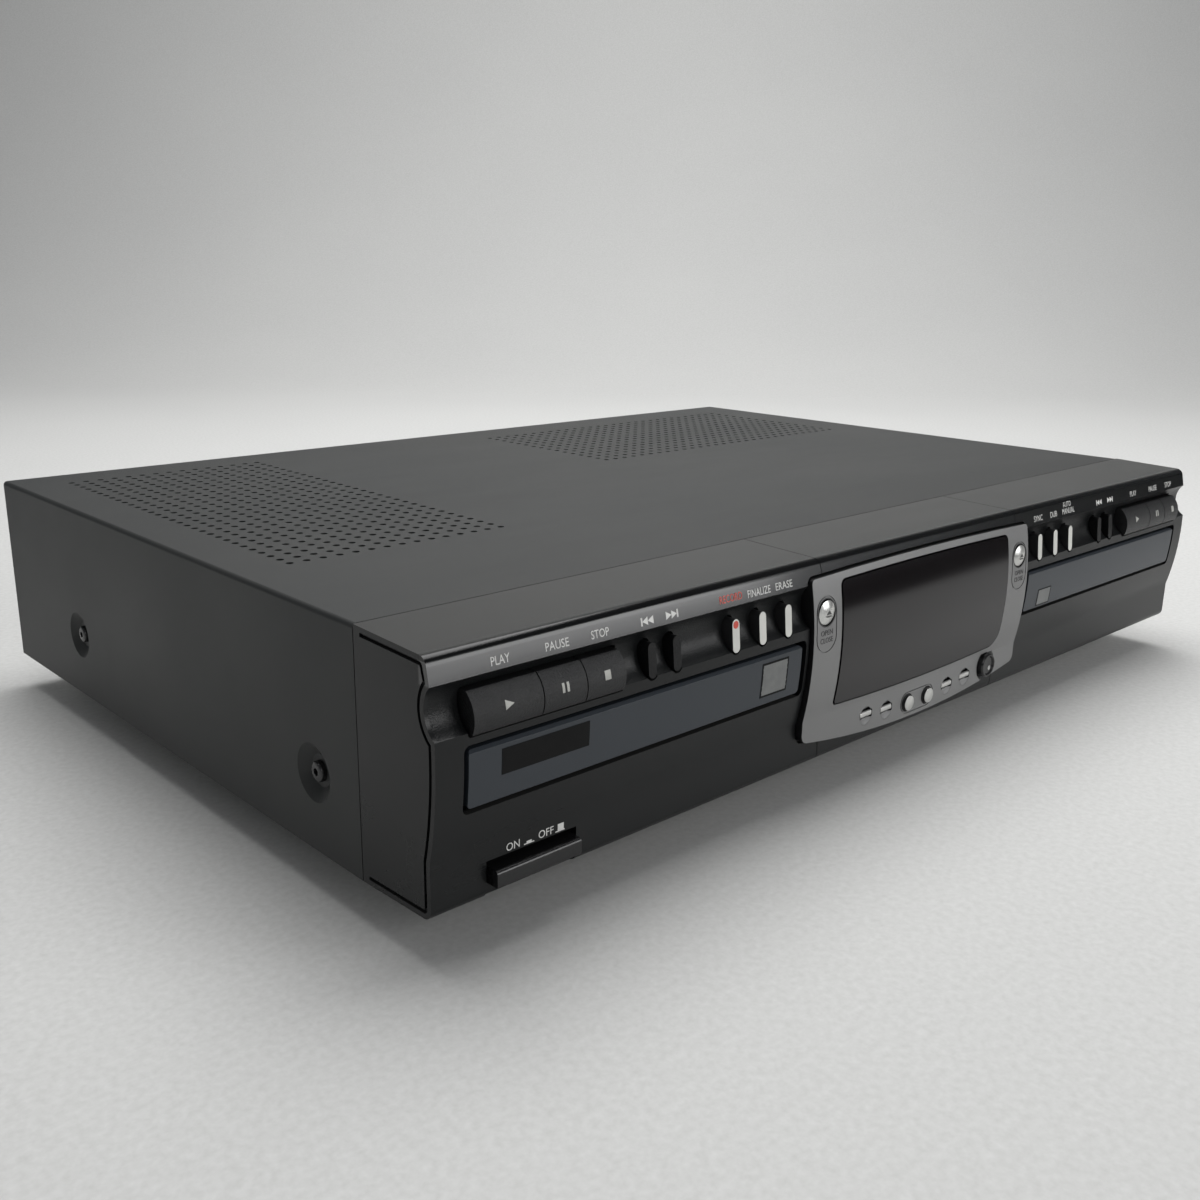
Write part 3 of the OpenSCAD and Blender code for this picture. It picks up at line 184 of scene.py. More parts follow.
def dark_card():
    """An upright strip ahead of the front, run along x; its top edge climbs from low to high on a
    smooth step."""
    ahead, left, right, low, high, step_from, step_to = -0.42, 0.05, 1.6, 0.062, 0.36, 0.42, 0.56
    along = np.linspace(left, right, 60)
    share = np.clip((along - step_from) / (step_to - step_from), 0.0, 1.0)
    top = low + (high - low) * share * share * (3 - 2 * share)
    rise = np.array([0.001, 1.0])[:, None]
    points = np.stack(np.broadcast_arrays(along[None, :], ahead, rise * top[None, :]), axis=-1)
    return grid_piece("dark_card", points)


card_cloth = bpy.data.materials.new("card_cloth")
card_cloth.use_nodes = True
tree = card_cloth.node_tree
shader = tree.nodes["Principled BSDF"]
nap = noise(tree, place_on(tree), 40.0)
tree.links.new(mix_colour(tree, nap, (0.004, 0.004, 0.004, 1.0), (0.008, 0.008, 0.008, 1.0)),
               shader.inputs["Base Color"])
shader.inputs["Specular IOR Level"].default_value = 0.0
card = dark_card()
card.data.materials.append(card_cloth)
card.visible_camera = False
card.visible_diffuse = False
card.visible_shadow = False


# Chassis and clamp bridges
# The base is folded from zinc-plated sheet with four upstanding walls and pillars for the loaders;
# the two clamp bridges are strips of the same sheet laid across the loaders' walls.

def make_group(name, inputs, outputs):
    """An empty shader node group with a number socket for each name given."""
    group = bpy.data.node_groups.new(name, "ShaderNodeTree")
    for direction, sockets in (("INPUT", inputs), ("OUTPUT", outputs)):
        for socket in sockets:
            group.interface.new_socket(socket, in_out=direction, socket_type="NodeSocketFloat")
    return group, group.nodes.new("NodeGroupInput").outputs, group.nodes.new("NodeGroupOutput").inputs


def arithmetic(tree, operation, *values):
    """A sum, a product or a comparison; each value may be a number or a socket."""
    return add_node(tree, "ShaderNodeMath", dict(enumerate(values)), operation=operation).outputs[0]


def fine_grain_group():
    """Height of a fine even grain: two noises, the second four times finer, added at half weight."""
    finer, weight = 4.0, 0.5
    group, given, made = make_group("fine_grain", ["Scale"], ["Height"])
    where = place_on(group)
    coarse = noise(group, where, given["Scale"])
    fine = noise(group, where, arithmetic(group, "MULTIPLY", given["Scale"], finer), 1.0)
    group.links.new(arithmetic(group, "MULTIPLY_ADD", fine, weight, coarse), made["Height"])
    return group


def handling_group():
    """Clouds of uneven tone, and smears drawn out along x where a hand or a cloth has wiped."""
    drawn_out, spread = (0.25, 1.0, 1.0), (0.3, 0.7)
    group, given, made = make_group("handling", ["Scale"], ["Cloud", "Smear"])
    where = place_on(group)
    drawn = add_node(group, "ShaderNodeMapping", {"Vector": where, "Scale": drawn_out}).outputs["Vector"]
    cloud = noise(group, where, given["Scale"], 4.0)
    smear = noise(group, drawn, given["Scale"], 6.0, 0.65)
    group.links.new(ramp(group, cloud, *spread), made["Cloud"])
    group.links.new(ramp(group, smear, *spread), made["Smear"])
    return group


fine_grain = fine_grain_group()
handling = handling_group()


def finish(name, colour, worn, roughness, grain=2500.0, depth=0.02, cloud=18.0, **fixed):
    """Colour drifts from one tone to another with handling, roughness with the smears, over a fine grain
    of so many mm in depth. fixed sets the shader's own sockets, such as Metallic."""
    material = bpy.data.materials.new(name)
    material.use_nodes = True
    tree = material.node_tree
    shader = tree.nodes["Principled BSDF"]
    marks = add_node(tree, "ShaderNodeGroup", {"Scale": cloud}, node_tree=handling).outputs
    tone = mix_colour(tree, marks["Cloud"], (*colour, 1.0), (*worn, 1.0))
    tree.links.new(tone, shader.inputs["Base Color"])
    tree.links.new(ramp(tree, marks["Smear"], 0.0, 1.0, *roughness), shader.inputs["Roughness"])
    if depth:
        texture = add_node(tree, "ShaderNodeGroup", {"Scale": grain}, node_tree=fine_grain)
        bump = add_node(tree, "ShaderNodeBump", {"Strength": 1.0, "Distance": depth * 0.001,
                                                 "Height": texture.outputs["Height"]})
        tree.links.new(bump.outputs[0], shader.inputs["Normal"])
    for socket, value in fixed.items():
        shader.inputs[socket.replace("_", " ")].default_value = value
    return material


def smoothing_group():
    """Joins a solid's loose triangles and shades it smooth, but for the edges that turn by more than an
    angle."""
    weld, sharp_from = 2e-6, np.radians(32.0)
    group = bpy.data.node_groups.new("smooth_shading", "GeometryNodeTree")
    group.interface.new_socket("Geometry", in_out="INPUT", socket_type="NodeSocketGeometry")
    group.interface.new_socket("Geometry", in_out="OUTPUT", socket_type="NodeSocketGeometry")
    given, made = group.nodes.new("NodeGroupInput"), group.nodes.new("NodeGroupOutput")
    plain = add_node(group, "GeometryNodeRemoveAttribute", {"Geometry": given.outputs[0],
                                                            "Name": "custom_normal"})
    joined = add_node(group, "GeometryNodeMergeByDistance", {"Geometry": plain.outputs[0],
                                                             "Distance": weld})
    smooth = add_node(group, "GeometryNodeSetShadeSmooth", {"Geometry": joined.outputs[0]}, domain="FACE")
    angle = add_node(group, "GeometryNodeInputMeshEdgeAngle").outputs[0]
    sharp = add_node(group, "FunctionNodeCompare", {0: angle, 1: sharp_from}, operation="GREATER_THAN")
    edged = add_node(group, "GeometryNodeSetShadeSmooth", {"Geometry": smooth.outputs[0],
                                                           "Selection": sharp.outputs[0],
                                                           "Shade Smooth": False}, domain="EDGE")
    group.links.new(edged.outputs[0], made.inputs[0])
    return group


smoothing = smoothing_group()


def dress(names, material, edge=0.0):
    """Gives CAD pieces a finish, smooth shading and, where edge is set, edges rounded to that many mm."""
    for name in names:
        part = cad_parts[name]
        for slot in part.material_slots:
            slot.material = material
        part.modifiers.new("smooth", "NODES").node_group = smoothing
        if edge:
            bevel = part.modifiers.new("edge", "BEVEL")
            bevel.width = edge * 0.001
            bevel.segments = 2
            bevel.limit_method = "ANGLE"
            bevel.angle_limit = np.radians(35.0)
        weighted = part.modifiers.new("flat_faces", "WEIGHTED_NORMAL")
        weighted.mode = "FACE_AREA"
        weighted.weight = 50
        weighted.keep_sharp = True


plated = finish("plated_sheet", (0.50, 0.51, 0.52), (0.62, 0.62, 0.60), (0.28, 0.45), cloud=60.0,
                Metallic=1.0)
dress(["base_chassis", "clamp_bridges"], plated)


# Boards
# Glass-fibre boards under green solder resist stand on the chassis pillars and behind the keys, with
# their parts moulded in black; the mains switch is a grey block and the display a sealed glass tube.

def paint_over(tree, mask, colour):
    """A second colour laid over a finish's own where the mask is 1."""
    base = tree.nodes["Principled BSDF"].inputs["Base Color"]
    tree.links.new(mix_colour(tree, mask, base.links[0].from_socket, (*colour, 1.0)), base)


def board_finish(name, top):
    """Green resist with a faint grid of tracks below the height top, and black moulded parts above it."""
    gap, track = (0.0, 0.0, 0.0, 1.0), (1.0, 1.0, 1.0, 1.0)
    material = finish(name, (0.03, 0.13, 0.06), (0.05, 0.19, 0.09), (0.3, 0.5), cloud=40.0)
    tree = material.node_tree
    place = place_on(tree)
    tracks = add_node(tree, "ShaderNodeTexBrick", {"Vector": place, "Scale": 180.0, "Mortar Size": 0.06,
                                                   "Color1": gap, "Color2": gap, "Mortar": track})
    paint_over(tree, tracks.outputs["Color"], (0.09, 0.30, 0.12))
    raised = arithmetic(tree, "GREATER_THAN", axes_of(tree, place)["Z"], top)
    paint_over(tree, raised, (0.025, 0.025, 0.027))
    return material


BOARD_RISE = 0.0097
OVER_ALL = 1.0
board_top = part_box("feet")[1].z + BOARD_RISE
dress(["main_board", "power_supply"], board_finish("main_board_resist", board_top))
dress(["control_boards"], board_finish("key_board_resist", OVER_ALL))
dress(["power_switch"], finish("switch_body", (0.17, 0.18, 0.19), (0.22, 0.23, 0.24), (0.4, 0.55)))
dress(["display_tube"],
      finish("tube_glass", (0.02, 0.035, 0.04), (0.03, 0.05, 0.055), (0.05, 0.1), depth=0.0))


# Rear panel, jacks and mains inlet
# A punched steel panel painted matt black carries nickel phono jacks, two shuttered optical sockets
# and a moulded mains inlet.

dress(["rear_panel"],
      finish("rear_paint", (0.035, 0.036, 0.037), (0.05, 0.05, 0.051), (0.5, 0.65), depth=0.03))


def jack_finish():
    """Nickel outside the rear panel, black moulding inside it: the change is just under its face."""
    change_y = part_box("rear_panel")[1].y - 0.0005
    material = finish("jack_nickel", (0.02, 0.02, 0.021), (0.03, 0.03, 0.03), (0.2, 0.35), cloud=90.0)
    tree = material.node_tree
    outside = arithmetic(tree, "GREATER_THAN", axes_of(tree, place_on(tree))["Y"], change_y)
    paint_over(tree, outside, (0.66, 0.63, 0.57))
    tree.links.new(outside, tree.nodes["Principled BSDF"].inputs["Metallic"])
    return material


dress(["signal_jacks"], jack_finish())
dress(["mains_inlet"],
      finish("inlet_moulding", (0.018, 0.018, 0.019), (0.028, 0.028, 0.028), (0.35, 0.5)), 0.3)


# Loaders and trays
# Each loader is a moulded tub with rails for the disc tray; the tray's rack meshes with an acetal
# gear, and the plated disc engine hinges below it with its motor, turntable and pickup.

dress(["left_loader_frame", "right_loader_frame"],
      finish("loader_moulding", (0.05, 0.052, 0.055), (0.07, 0.072, 0.075), (0.45, 0.6)))
dress(["left_tray", "right_tray"],
      finish("tray_moulding", (0.028, 0.029, 0.031), (0.04, 0.041, 0.043), (0.38, 0.5), depth=0.03), 0.25)
dress(["left_tray_gear", "right_tray_gear"],
      finish("natural_acetal", (0.62, 0.58, 0.49), (0.70, 0.67, 0.60), (0.4, 0.5), Subsurface_Weight=0.1))
dress(["left_engine", "right_engine"],
      finish("engine_plate", (0.44, 0.45, 0.46), (0.55, 0.55, 0.54), (0.3, 0.42), cloud=70.0, Metallic=1.0))
dress(["left_turntable", "right_turntable", "left_clamp", "right_clamp"],
      finish("turntable_moulding", (0.022, 0.022, 0.024), (0.032, 0.032, 0.034), (0.35, 0.5)))
dress(["left_pickup", "right_pickup"],
      finish("cast_pickup", (0.30, 0.31, 0.32), (0.38, 0.38, 0.38), (0.4, 0.55), depth=0.05, Metallic=1.0))


# Cover, screws and feet
# One sheet of steel bent over the top and sides, coated in a fine matt dark grey paint and drilled with
# two fields of vent holes; black socket screws sit in pressed dimples, and four round feet carry it.

dress(["top_cover"],
      finish("cover_paint", (0.029, 0.031, 0.031), (0.035, 0.036, 0.035), (0.42, 0.50), grain=3200.0,
             depth=0.03, cloud=9.0, Specular_IOR_Level=0.27))
dress(["case_screws"],
      finish("blackened_screw", (0.03, 0.03, 0.031), (0.10, 0.10, 0.10), (0.18, 0.30), cloud=300.0,
             Metallic=0.8))
dress(["feet"],
      finish("foot_moulding", (0.016, 0.016, 0.016), (0.03, 0.03, 0.03), (0.6, 0.8), depth=0.05), 0.6)


# Front mouldings and tray fronts
# Three satin black mouldings make the wavy front, with a crisp upper edge, a printed strip and a cove
# for the keys; the tray fronts continue the belly in a bluish grey lacquer.

PANEL_RETURN = 0.0296
CASE_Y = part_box("left_front_panel")[1].y - PANEL_RETURN
CASE_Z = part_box("feet")[1].z


def facing(tree):
    """The way that the surface looks, as its X, Y and Z."""
    return axes_of(tree, add_node(tree, "ShaderNodeNewGeometry").outputs["Normal"])


def panel_finish():
    """Satin black; the strip has a clear coat with drawn-out streaks, the nose above it is polished and
    painted near black as a painted dark reflection, and the cove below them has a moulded grain; faces that
    look straight up are painted lighter, as fine dust and as painted sheen."""
    cove_foot, strip_foot, nose_foot, fade = CASE_Z + 0.0521, CASE_Z + 0.0657, CASE_Z + 0.0719, 0.0003
    front_from, front_to = CASE_Y + 0.0004, CASE_Y - 0.0001
    cove_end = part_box("right_front_panel")[1].x - 0.0012
    dust_and_sheen_from, dust_and_sheen_share, nose_gloss, least_coat, pebble_depth = 0.95, 0.5, 0.10, 0.55, 0.00013
    material = finish("panel_satin", (0.0052, 0.0058, 0.0062), (0.0070, 0.0077, 0.0081), (0.26, 0.34),
                      grain=2600.0, depth=0.015, cloud=14.0, Specular_IOR_Level=0.28, Coat_Roughness=0.13)
    tree = material.node_tree
    shader = tree.nodes["Principled BSDF"]
    place = place_on(tree)
    x, y, z = axes_of(tree, place)
    ahead = ramp(tree, y, front_from, front_to)
    above = arithmetic(tree, "MULTIPLY", ramp(tree, z, strip_foot, strip_foot + fade), ahead)
    nose = arithmetic(tree, "MULTIPLY", ramp(tree, z, nose_foot, nose_foot + fade), ahead)
    strip = arithmetic(tree, "SUBTRACT", above, nose)
    # The nose is painted near black: a painted dark reflection, giving the black band under the top edge.
    paint_over(tree, nose, (0.0022, 0.0023, 0.0025))
    # Faces that look straight up are painted lighter: partly fine dust, partly a painted sheen on the top.
    dust_and_sheen = ramp(tree, facing(tree)["Z"], dust_and_sheen_from, 1.0, 0.0, dust_and_sheen_share)
    paint_over(tree, dust_and_sheen, (0.06, 0.06, 0.057))
    satin = shader.inputs["Roughness"].links[0].from_socket
    polish = add_node(tree, "ShaderNodeMix", {0: nose, 2: satin, 3: nose_gloss}).outputs[0]
    tree.links.new(polish, shader.inputs["Roughness"])
    drawn = add_node(tree, "ShaderNodeMapping", {"Vector": place, "Scale": (6.0, 300.0, 900.0)}).outputs[0]
    streak = ramp(tree, noise(tree, drawn, 4.0, 3.0), 0.0, 1.0, least_coat, 1.0)
    tree.links.new(arithmetic(tree, "MULTIPLY", streak, strip), shader.inputs["Coat Weight"])
    cove = arithmetic(tree, "MULTIPLY", arithmetic(tree, "GREATER_THAN", z, cove_foot),
                      arithmetic(tree, "LESS_THAN", z, strip_foot))
    inside = arithmetic(tree, "LESS_THAN", arithmetic(tree, "ABSOLUTE", x), cove_end)
    cove = arithmetic(tree, "MULTIPLY", cove, inside)
    pebble = arithmetic(tree, "MULTIPLY", noise(tree, place, 2400.0, 3.0), cove)
    fine = shader.inputs["Normal"].links[0].from_socket
    moulded = add_node(tree, "ShaderNodeBump", {"Strength": 1.0, "Distance": pebble_depth,
                                                "Height": pebble, "Normal": fine})
    tree.links.new(moulded.outputs[0], shader.inputs["Normal"])
    return material


dress(["left_front_panel", "centre_front_panel", "right_front_panel"], panel_finish(), 0.26)
dress(["left_tray_front", "right_tray_front"],
      finish("tray_lacquer", (0.025, 0.031, 0.039), (0.029, 0.035, 0.043), (0.28, 0.36), cloud=16.0,
             Specular_IOR_Level=0.4), 0.15)


# Keys on the front
# The transport keys are black barrels and thin black fins, and the recording keys have off-white faces
# set in black fins; each is moulded and runs in a slot of the cove. The power button is a gloss black bar.

key_black = finish("key_satin", (0.008, 0.0083, 0.009), (0.012, 0.0123, 0.013), (0.30, 0.42), grain=1500.0,
                   depth=0.18, cloud=60.0, Specular_IOR_Level=0.42)
fin_black = finish("fin_satin", (0.004, 0.0042, 0.0046), (0.007, 0.0072, 0.0076), (0.32, 0.44), grain=1500.0,
                   depth=0.1, cloud=60.0, Specular_IOR_Level=0.2)
power_black = finish("power_gloss", (0.006, 0.006, 0.0065), (0.009, 0.009, 0.0095), (0.16, 0.24), depth=0.02,
                     cloud=60.0, Specular_IOR_Level=0.5)
for side in ("left", "right"):
    dress(["%s_%s_key" % (side, key) for key in ("play", "pause", "stop")], key_black, 0.35)
    dress(["%s_%s_key" % (side, key) for key in ("previous", "next")], fin_black, 0.3)
dress(["power_button"], power_black, 0.4)


def faced_finish():
    """Off-white where the surface looks to the front, black on the sides of the fin."""
    side_from = -0.6
    material = finish("faced_fin", (0.62, 0.62, 0.58), (0.70, 0.70, 0.66), (0.35, 0.45), cloud=120.0)
    tree = material.node_tree
    side = arithmetic(tree, "GREATER_THAN", facing(tree)["Y"], side_from)
    paint_over(tree, side, (0.02, 0.02, 0.021))
    return material


dress(["record_key", "finalize_key", "erase_key", "sync_key", "dub_key", "manual_key"], faced_finish(), 0.3)


# Display bezel, window and their keys
# A moulded frame in fine metallic grey lacquer, bowed top and bottom, holds a smoked window. Its silver
# keys are domes, blades over thumb dishes and two turned caps, and a black jog knob turns at the right.

def black_sides_and_shade_finish(material, metallic):
    """The lacquer lies on the face alone: surfaces that turn away from the front are painted black; on the
    silver keys this black rim is painted shade for the gap round each key.
    """
    wall_from, wall_to = -0.3, -0.2
    tree = material.node_tree
    forward = facing(tree)["Y"]
    # Surfaces turned away from the front are painted black; round the keys this is painted shade.
    paint_over(tree, ramp(tree, forward, wall_from, wall_to), (0.006, 0.006, 0.0065))
    tree.links.new(ramp(tree, forward, wall_from, wall_to, metallic, 0.0),
                   tree.nodes["Principled BSDF"].inputs["Metallic"])
    return material


bezel_lacquer = finish("bezel_lacquer", (0.215, 0.215, 0.215), (0.24, 0.24, 0.24), (0.36, 0.44),
                       grain=5200.0, depth=0.02, cloud=20.0)
dress(["display_bezel"], black_sides_and_shade_finish(bezel_lacquer, 0.55), 0.45)
dress(["display_window"],
      finish("smoked_window", (0.0075, 0.006, 0.0068), (0.0095, 0.008, 0.0088), (0.12, 0.16), depth=0.0,
             Specular_IOR_Level=0.45), 0.15)
key_silver = finish("key_silver", (0.56, 0.56, 0.54), (0.64, 0.64, 0.62), (0.24, 0.34), depth=0.0)
# The silver keys' sides are painted black, as painted shade in the gap round each key.
key_silver = black_sides_and_shade_finish(key_silver, 0.7)
SMALL_KEYS, ROUND_KEYS = range(1, 5), range(1, 3)
dress(["left_open_key", "right_open_key"], key_silver, 0.2)
dress(["round_key_%d" % number for number in ROUND_KEYS], key_black, 0.2)
dress(["small_key_%d" % number for number in SMALL_KEYS], key_silver, 0.2)
BEZEL_FOOT_Y = CASE_Y - 0.0047


def middle_of(node):
    """The middle of a CAD piece's box, across and up."""
    low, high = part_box(node)
    return (low.x + high.x) / 2, (low.z + high.z) / 2


def about_key(points, key):
    """Points in mm about a key's middle on the flat foot of the bezel, as metres in the frame."""
    x, z = middle_of(key)
    return points * 0.001 + np.array([x, BEZEL_FOOT_Y, z])


def thumb_dish(name, key):
    """The lower part of a round dish under a small key: its depth falls with the square of the distance
    from its middle, and it stops at a chord below the key."""
    radius, drop, chord, deep, first, last = 3.45, 0.6, 0.9, 0.75, 16.0, 164.0
    angle = np.radians(np.linspace(first, last, 33))[None, :]
    share = np.linspace(0.0, 1.0, 8)[:, None]
    reach = (1 - share) * chord / np.sin(angle) + share * radius
    depth = deep * (1 - (reach / radius) ** 2) / (1 - (chord / radius) ** 2)
    points = np.stack([reach * np.cos(angle), depth, -drop - reach * np.sin(angle)], axis=-1)
    piece = grid_piece(name, about_key(points, key))
    wall = piece.modifiers.new("wall", "SOLIDIFY")
    wall.thickness = 0.00015
    wall.offset = -1.0
    return piece


dish_lacquer = finish("dish_lacquer", (0.20, 0.20, 0.20), (0.23, 0.23, 0.23), (0.48, 0.56), grain=5200.0,
                      cloud=20.0, Metallic=0.4)
for number in SMALL_KEYS:
    dish = thumb_dish("thumb_dish_%d" % number, "small_key_%d" % number)
    dish.data.materials.append(dish_lacquer)
    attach(dish, "case")


def key_cap(name, key):
    """A profile turned about the key's axis: an upright wall, a rounded rim and a shallow crown."""
    radius, rim, root, rim_y, crown_y = 2.85, 0.2, 0.2, -0.95, -1.5
    turn = np.linspace(0.0, np.pi / 2, 5)
    across = np.linspace(radius - rim, 0.0, 9)[1:]
    crown = crown_y + (rim_y - rim - crown_y) * (across / (radius - rim)) ** 2
    profile_r = np.concatenate([[radius], radius - rim + rim * np.cos(turn), across])[:, None]
    profile_y = np.concatenate([[root], rim_y - rim * np.sin(turn), crown])[:, None]
    angle = np.linspace(0.0, 2 * np.pi, 40, endpoint=False)[None, :]
    points = np.stack(np.broadcast_arrays(profile_r * np.cos(angle), profile_y, profile_r * np.sin(angle)),
                      axis=-1)
    return grid_piece(name, about_key(points, key), wrap=True)


for number in ROUND_KEYS:
    cap = key_cap("round_cap_%d" % number, "round_key_%d" % number)
    cap.data.materials.append(key_silver)
    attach(cap, "round_key_%d" % number)


def knob_finish():
    """Gloss black, with pale paint within a short distance of a point a little right of and below its
    middle.
    """
    aside, below, paint_r, paint_core = 0.0015, 0.0013, 0.0012, 0.0010
    x, z = middle_of("jog_knob")
    pale_spot_at = (x + aside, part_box("jog_knob")[0].y, z - below)
    material = finish("knob_gloss", (0.007, 0.007, 0.0075), (0.011, 0.011, 0.0115), (0.1, 0.18), depth=0.0)
    tree = material.node_tree
    reach = add_node(tree, "ShaderNodeVectorMath", {0: place_on(tree), 1: pale_spot_at}, operation="DISTANCE")
    paint_over(tree, ramp(tree, reach.outputs["Value"], paint_r, paint_core), (0.45, 0.45, 0.44))
    return material


dress(["jog_knob"], knob_finish(), 0.3)


# Printed legends and marks
# Function words and signs are screen-printed in pale grey, red or black ink on the strip, the keys,
# the bezel and the lower face; each print is a film of ink lying on the surface below it. The dark rings
# round the open keys are painted shade for the gap round them, laid on the bezel the same way.

def strip_face(z):
    """A plane that leans forward toward its foot, and above it the nose, a cylinder about a line along x."""
    top_z, top_y, lean, tall, nose_z, nose_r = 70.745, -3.169, 1.031, 4.845, 70.3, 3.2
    return np.where(z < top_z, top_y - (top_z - z) / tall * lean,
                    -np.sqrt(np.maximum(nose_r ** 2 - (z - nose_z) ** 2, 0.0)))


def barrel_face(z):
    """A cylinder about a line along x."""
    axis_y, axis_z, radius = 1.2, 55.27, 8.9
    return axis_y - np.sqrt(radius ** 2 - (z - axis_z) ** 2)


def bezel_face(z):
    """A cylinder about a line along x, and flat below its foot."""
    axis_y, axis_z, radius, foot_z, foot_y = 112.6, 44.0, 120.0, 18.7, -4.7
    return np.where(z > foot_z, axis_y - np.sqrt(radius ** 2 - (z - axis_z) ** 2), foot_y)


def lower_face(z):
    """The flat face under the belly."""
    face_y = -2.4
    return np.full_like(z, face_y)


def fin_face(z):
    """A fin's face, a plane that leans forward by 1 mm over its height."""
    top_y, top_z, tall = -5.1, 61.966, 10.5
    return top_y - (top_z - z) / tall


def open_key_face(z):
    """The flattened crest of an open key's dome."""
    crest_y = -7.8
    return np.full_like(z, crest_y)


INK_LIFT = 0.03
INK_FILM = 0.05


def lay_print(piece, flat, face, ink, body):
    """Lays flat points (x, z in mm) on a face y(z), a hair in front of it, as a film of ink on a body."""
    points = np.stack([flat[:, 0], face(flat[:, 1]) - INK_LIFT, flat[:, 1]], axis=1) * 0.001
    points += np.array([0.0, CASE_Y, CASE_Z])
    piece.data.vertices.foreach_set("co", points.ravel())
    piece.data.update()
    film = piece.modifiers.new("film", "SOLIDIFY")
    film.thickness = INK_FILM * 0.001
    film.offset = 1.0
    piece.data.materials.clear()
    piece.data.materials.append(ink)
    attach(piece, body)


def print_word(word, x, z, width, height, face, ink, body="case"):
    """A word in the plain font, stretched to a width and height about its centre."""
    letters = bpy.data.curves.new(word, "FONT")
    letters.body = word
    letters.resolution_u = 3
    outline = put_in_scene(word, letters)
    mesh = bpy.data.meshes.new_from_object(outline.evaluated_get(bpy.context.evaluated_depsgraph_get()))
    bpy.data.objects.remove(outline)
    bpy.data.curves.remove(letters)
    flat = np.empty(len(mesh.vertices) * 3)
    mesh.vertices.foreach_get("co", flat)
    flat = flat.reshape(-1, 3)[:, :2]
    low, high = flat.min(axis=0), flat.max(axis=0)
    flat = (flat - (low + high) / 2) / (high - low) * np.array([width, height]) + np.array([x, z])
    name = "print_%s_%d" % (word.lower(), round(x * 10))
    lay_print(put_in_scene(name.replace("-", "m"), mesh), flat, face, ink, body)


def print_sign(name, patches, x, z, width, height, face, ink, body="case"):
    """A sign made of four-cornered patches of the unit square, each a bilinear grid between its corners."""
    steps = 7
    share = np.linspace(0.0, 1.0, steps)
    u, v = share[None, None, :, None], share[None, :, None, None]
    corners = np.array(patches, dtype=float)[:, :, None, None, :]
    flat = ((corners[:, 0] * (1 - u) + corners[:, 1] * u) * (1 - v)
            + (corners[:, 3] * (1 - u) + corners[:, 2] * u) * v)
    flat = (flat - 0.5) * np.array([width, height]) + np.array([x, z])
    index = np.arange(len(patches) * steps * steps).reshape(-1, steps, steps)
    mesh = bpy.data.meshes.new(name)
    mesh.from_pydata(np.zeros((index.size, 3)), [], quads_over(index))
    lay_print(put_in_scene(name, mesh), flat.reshape(-1, 2), face, ink, body)


def print_ring(name, x, z, inner, outer, rings, turns, face, ink, body="case"):
    """A flat ring or disc about a point: the radius runs from inner to outer, the angle right round."""
    radius = np.linspace(inner, outer, rings)[:, None]
    angle = np.linspace(0.0, 2 * np.pi, turns, endpoint=False)[None, :]
    flat = np.stack([x + radius * np.cos(angle), z + radius * np.sin(angle)], axis=-1)
    piece = grid_piece(name, np.concatenate([flat, np.zeros_like(flat[:, :, :1])], axis=-1), wrap=True)
    lay_print(piece, flat.reshape(-1, 2), face, ink, body)


def block(left, right, low=0.0, high=1.0):
    """An upright patch of a sign."""
    return [(left, low), (right, low), (right, high), (left, high)]


def arrow(root, tip):
    """A patch that narrows from its root to a point at its tip."""
    return [(root, 0.0), (tip, 0.5), (tip, 0.5), (root, 1.0)]


pale_ink = finish("pale_ink", (0.66, 0.66, 0.64), (0.74, 0.74, 0.72), (0.4, 0.5), depth=0.0, cloud=500.0)
key_ink = finish("key_ink", (0.40, 0.40, 0.37), (0.47, 0.47, 0.44), (0.4, 0.5), depth=0.0, cloud=500.0)
red_ink = finish("red_ink", (0.58, 0.07, 0.05), (0.68, 0.09, 0.06), (0.4, 0.5), depth=0.0, cloud=500.0)
dark_ink = finish("dark_ink", (0.03, 0.03, 0.03), (0.045, 0.045, 0.045), (0.4, 0.5), depth=0.0, cloud=500.0)

LEGEND_Z, LEGEND_TALL = 68.3, 2.3
for word, x, width in (
        ("PLAY", -195.1, 6.1), ("PAUSE", -175.9, 8.2), ("STOP", -160.4, 6.6), ("FINALIZE", -93.3, 10.8),
        ("ERASE", -81.2, 8.2), ("SYNC", 79.6, 6.8), ("DUB", 92.2, 5.4), ("MANUAL", 104.6, 10.2),
        ("PLAY", 164.5, 6.1), ("PAUSE", 184.4, 8.2), ("STOP", 200.5, 6.6)):
    print_word(word, x, LEGEND_Z, width, LEGEND_TALL, strip_face, pale_ink)
print_word("AUTO", 103.8, 71.0, 6.6, 2.0, strip_face, pale_ink)
print_word("RECORD", -106.4, 68.6, 10.2, LEGEND_TALL, strip_face, red_ink)

BACK = [block(0.0, 0.12), arrow(0.55, 0.12), arrow(1.0, 0.55)]
ONWARD = [arrow(0.0, 0.45), arrow(0.45, 0.88), block(0.88, 1.0)]
SKIP_WIDE, SKIP_TALL = 5.05, 2.35
for side, back_x, onward_x in (("left", -142.2, -132.1), ("right", 131.9, 142.0)):
    for sign, patches, x in (("back", BACK, back_x), ("onward", ONWARD, onward_x)):
        print_sign("%s_%s_sign" % (side, sign), patches, x, LEGEND_Z, SKIP_WIDE, SKIP_TALL, strip_face,
                   pale_ink)

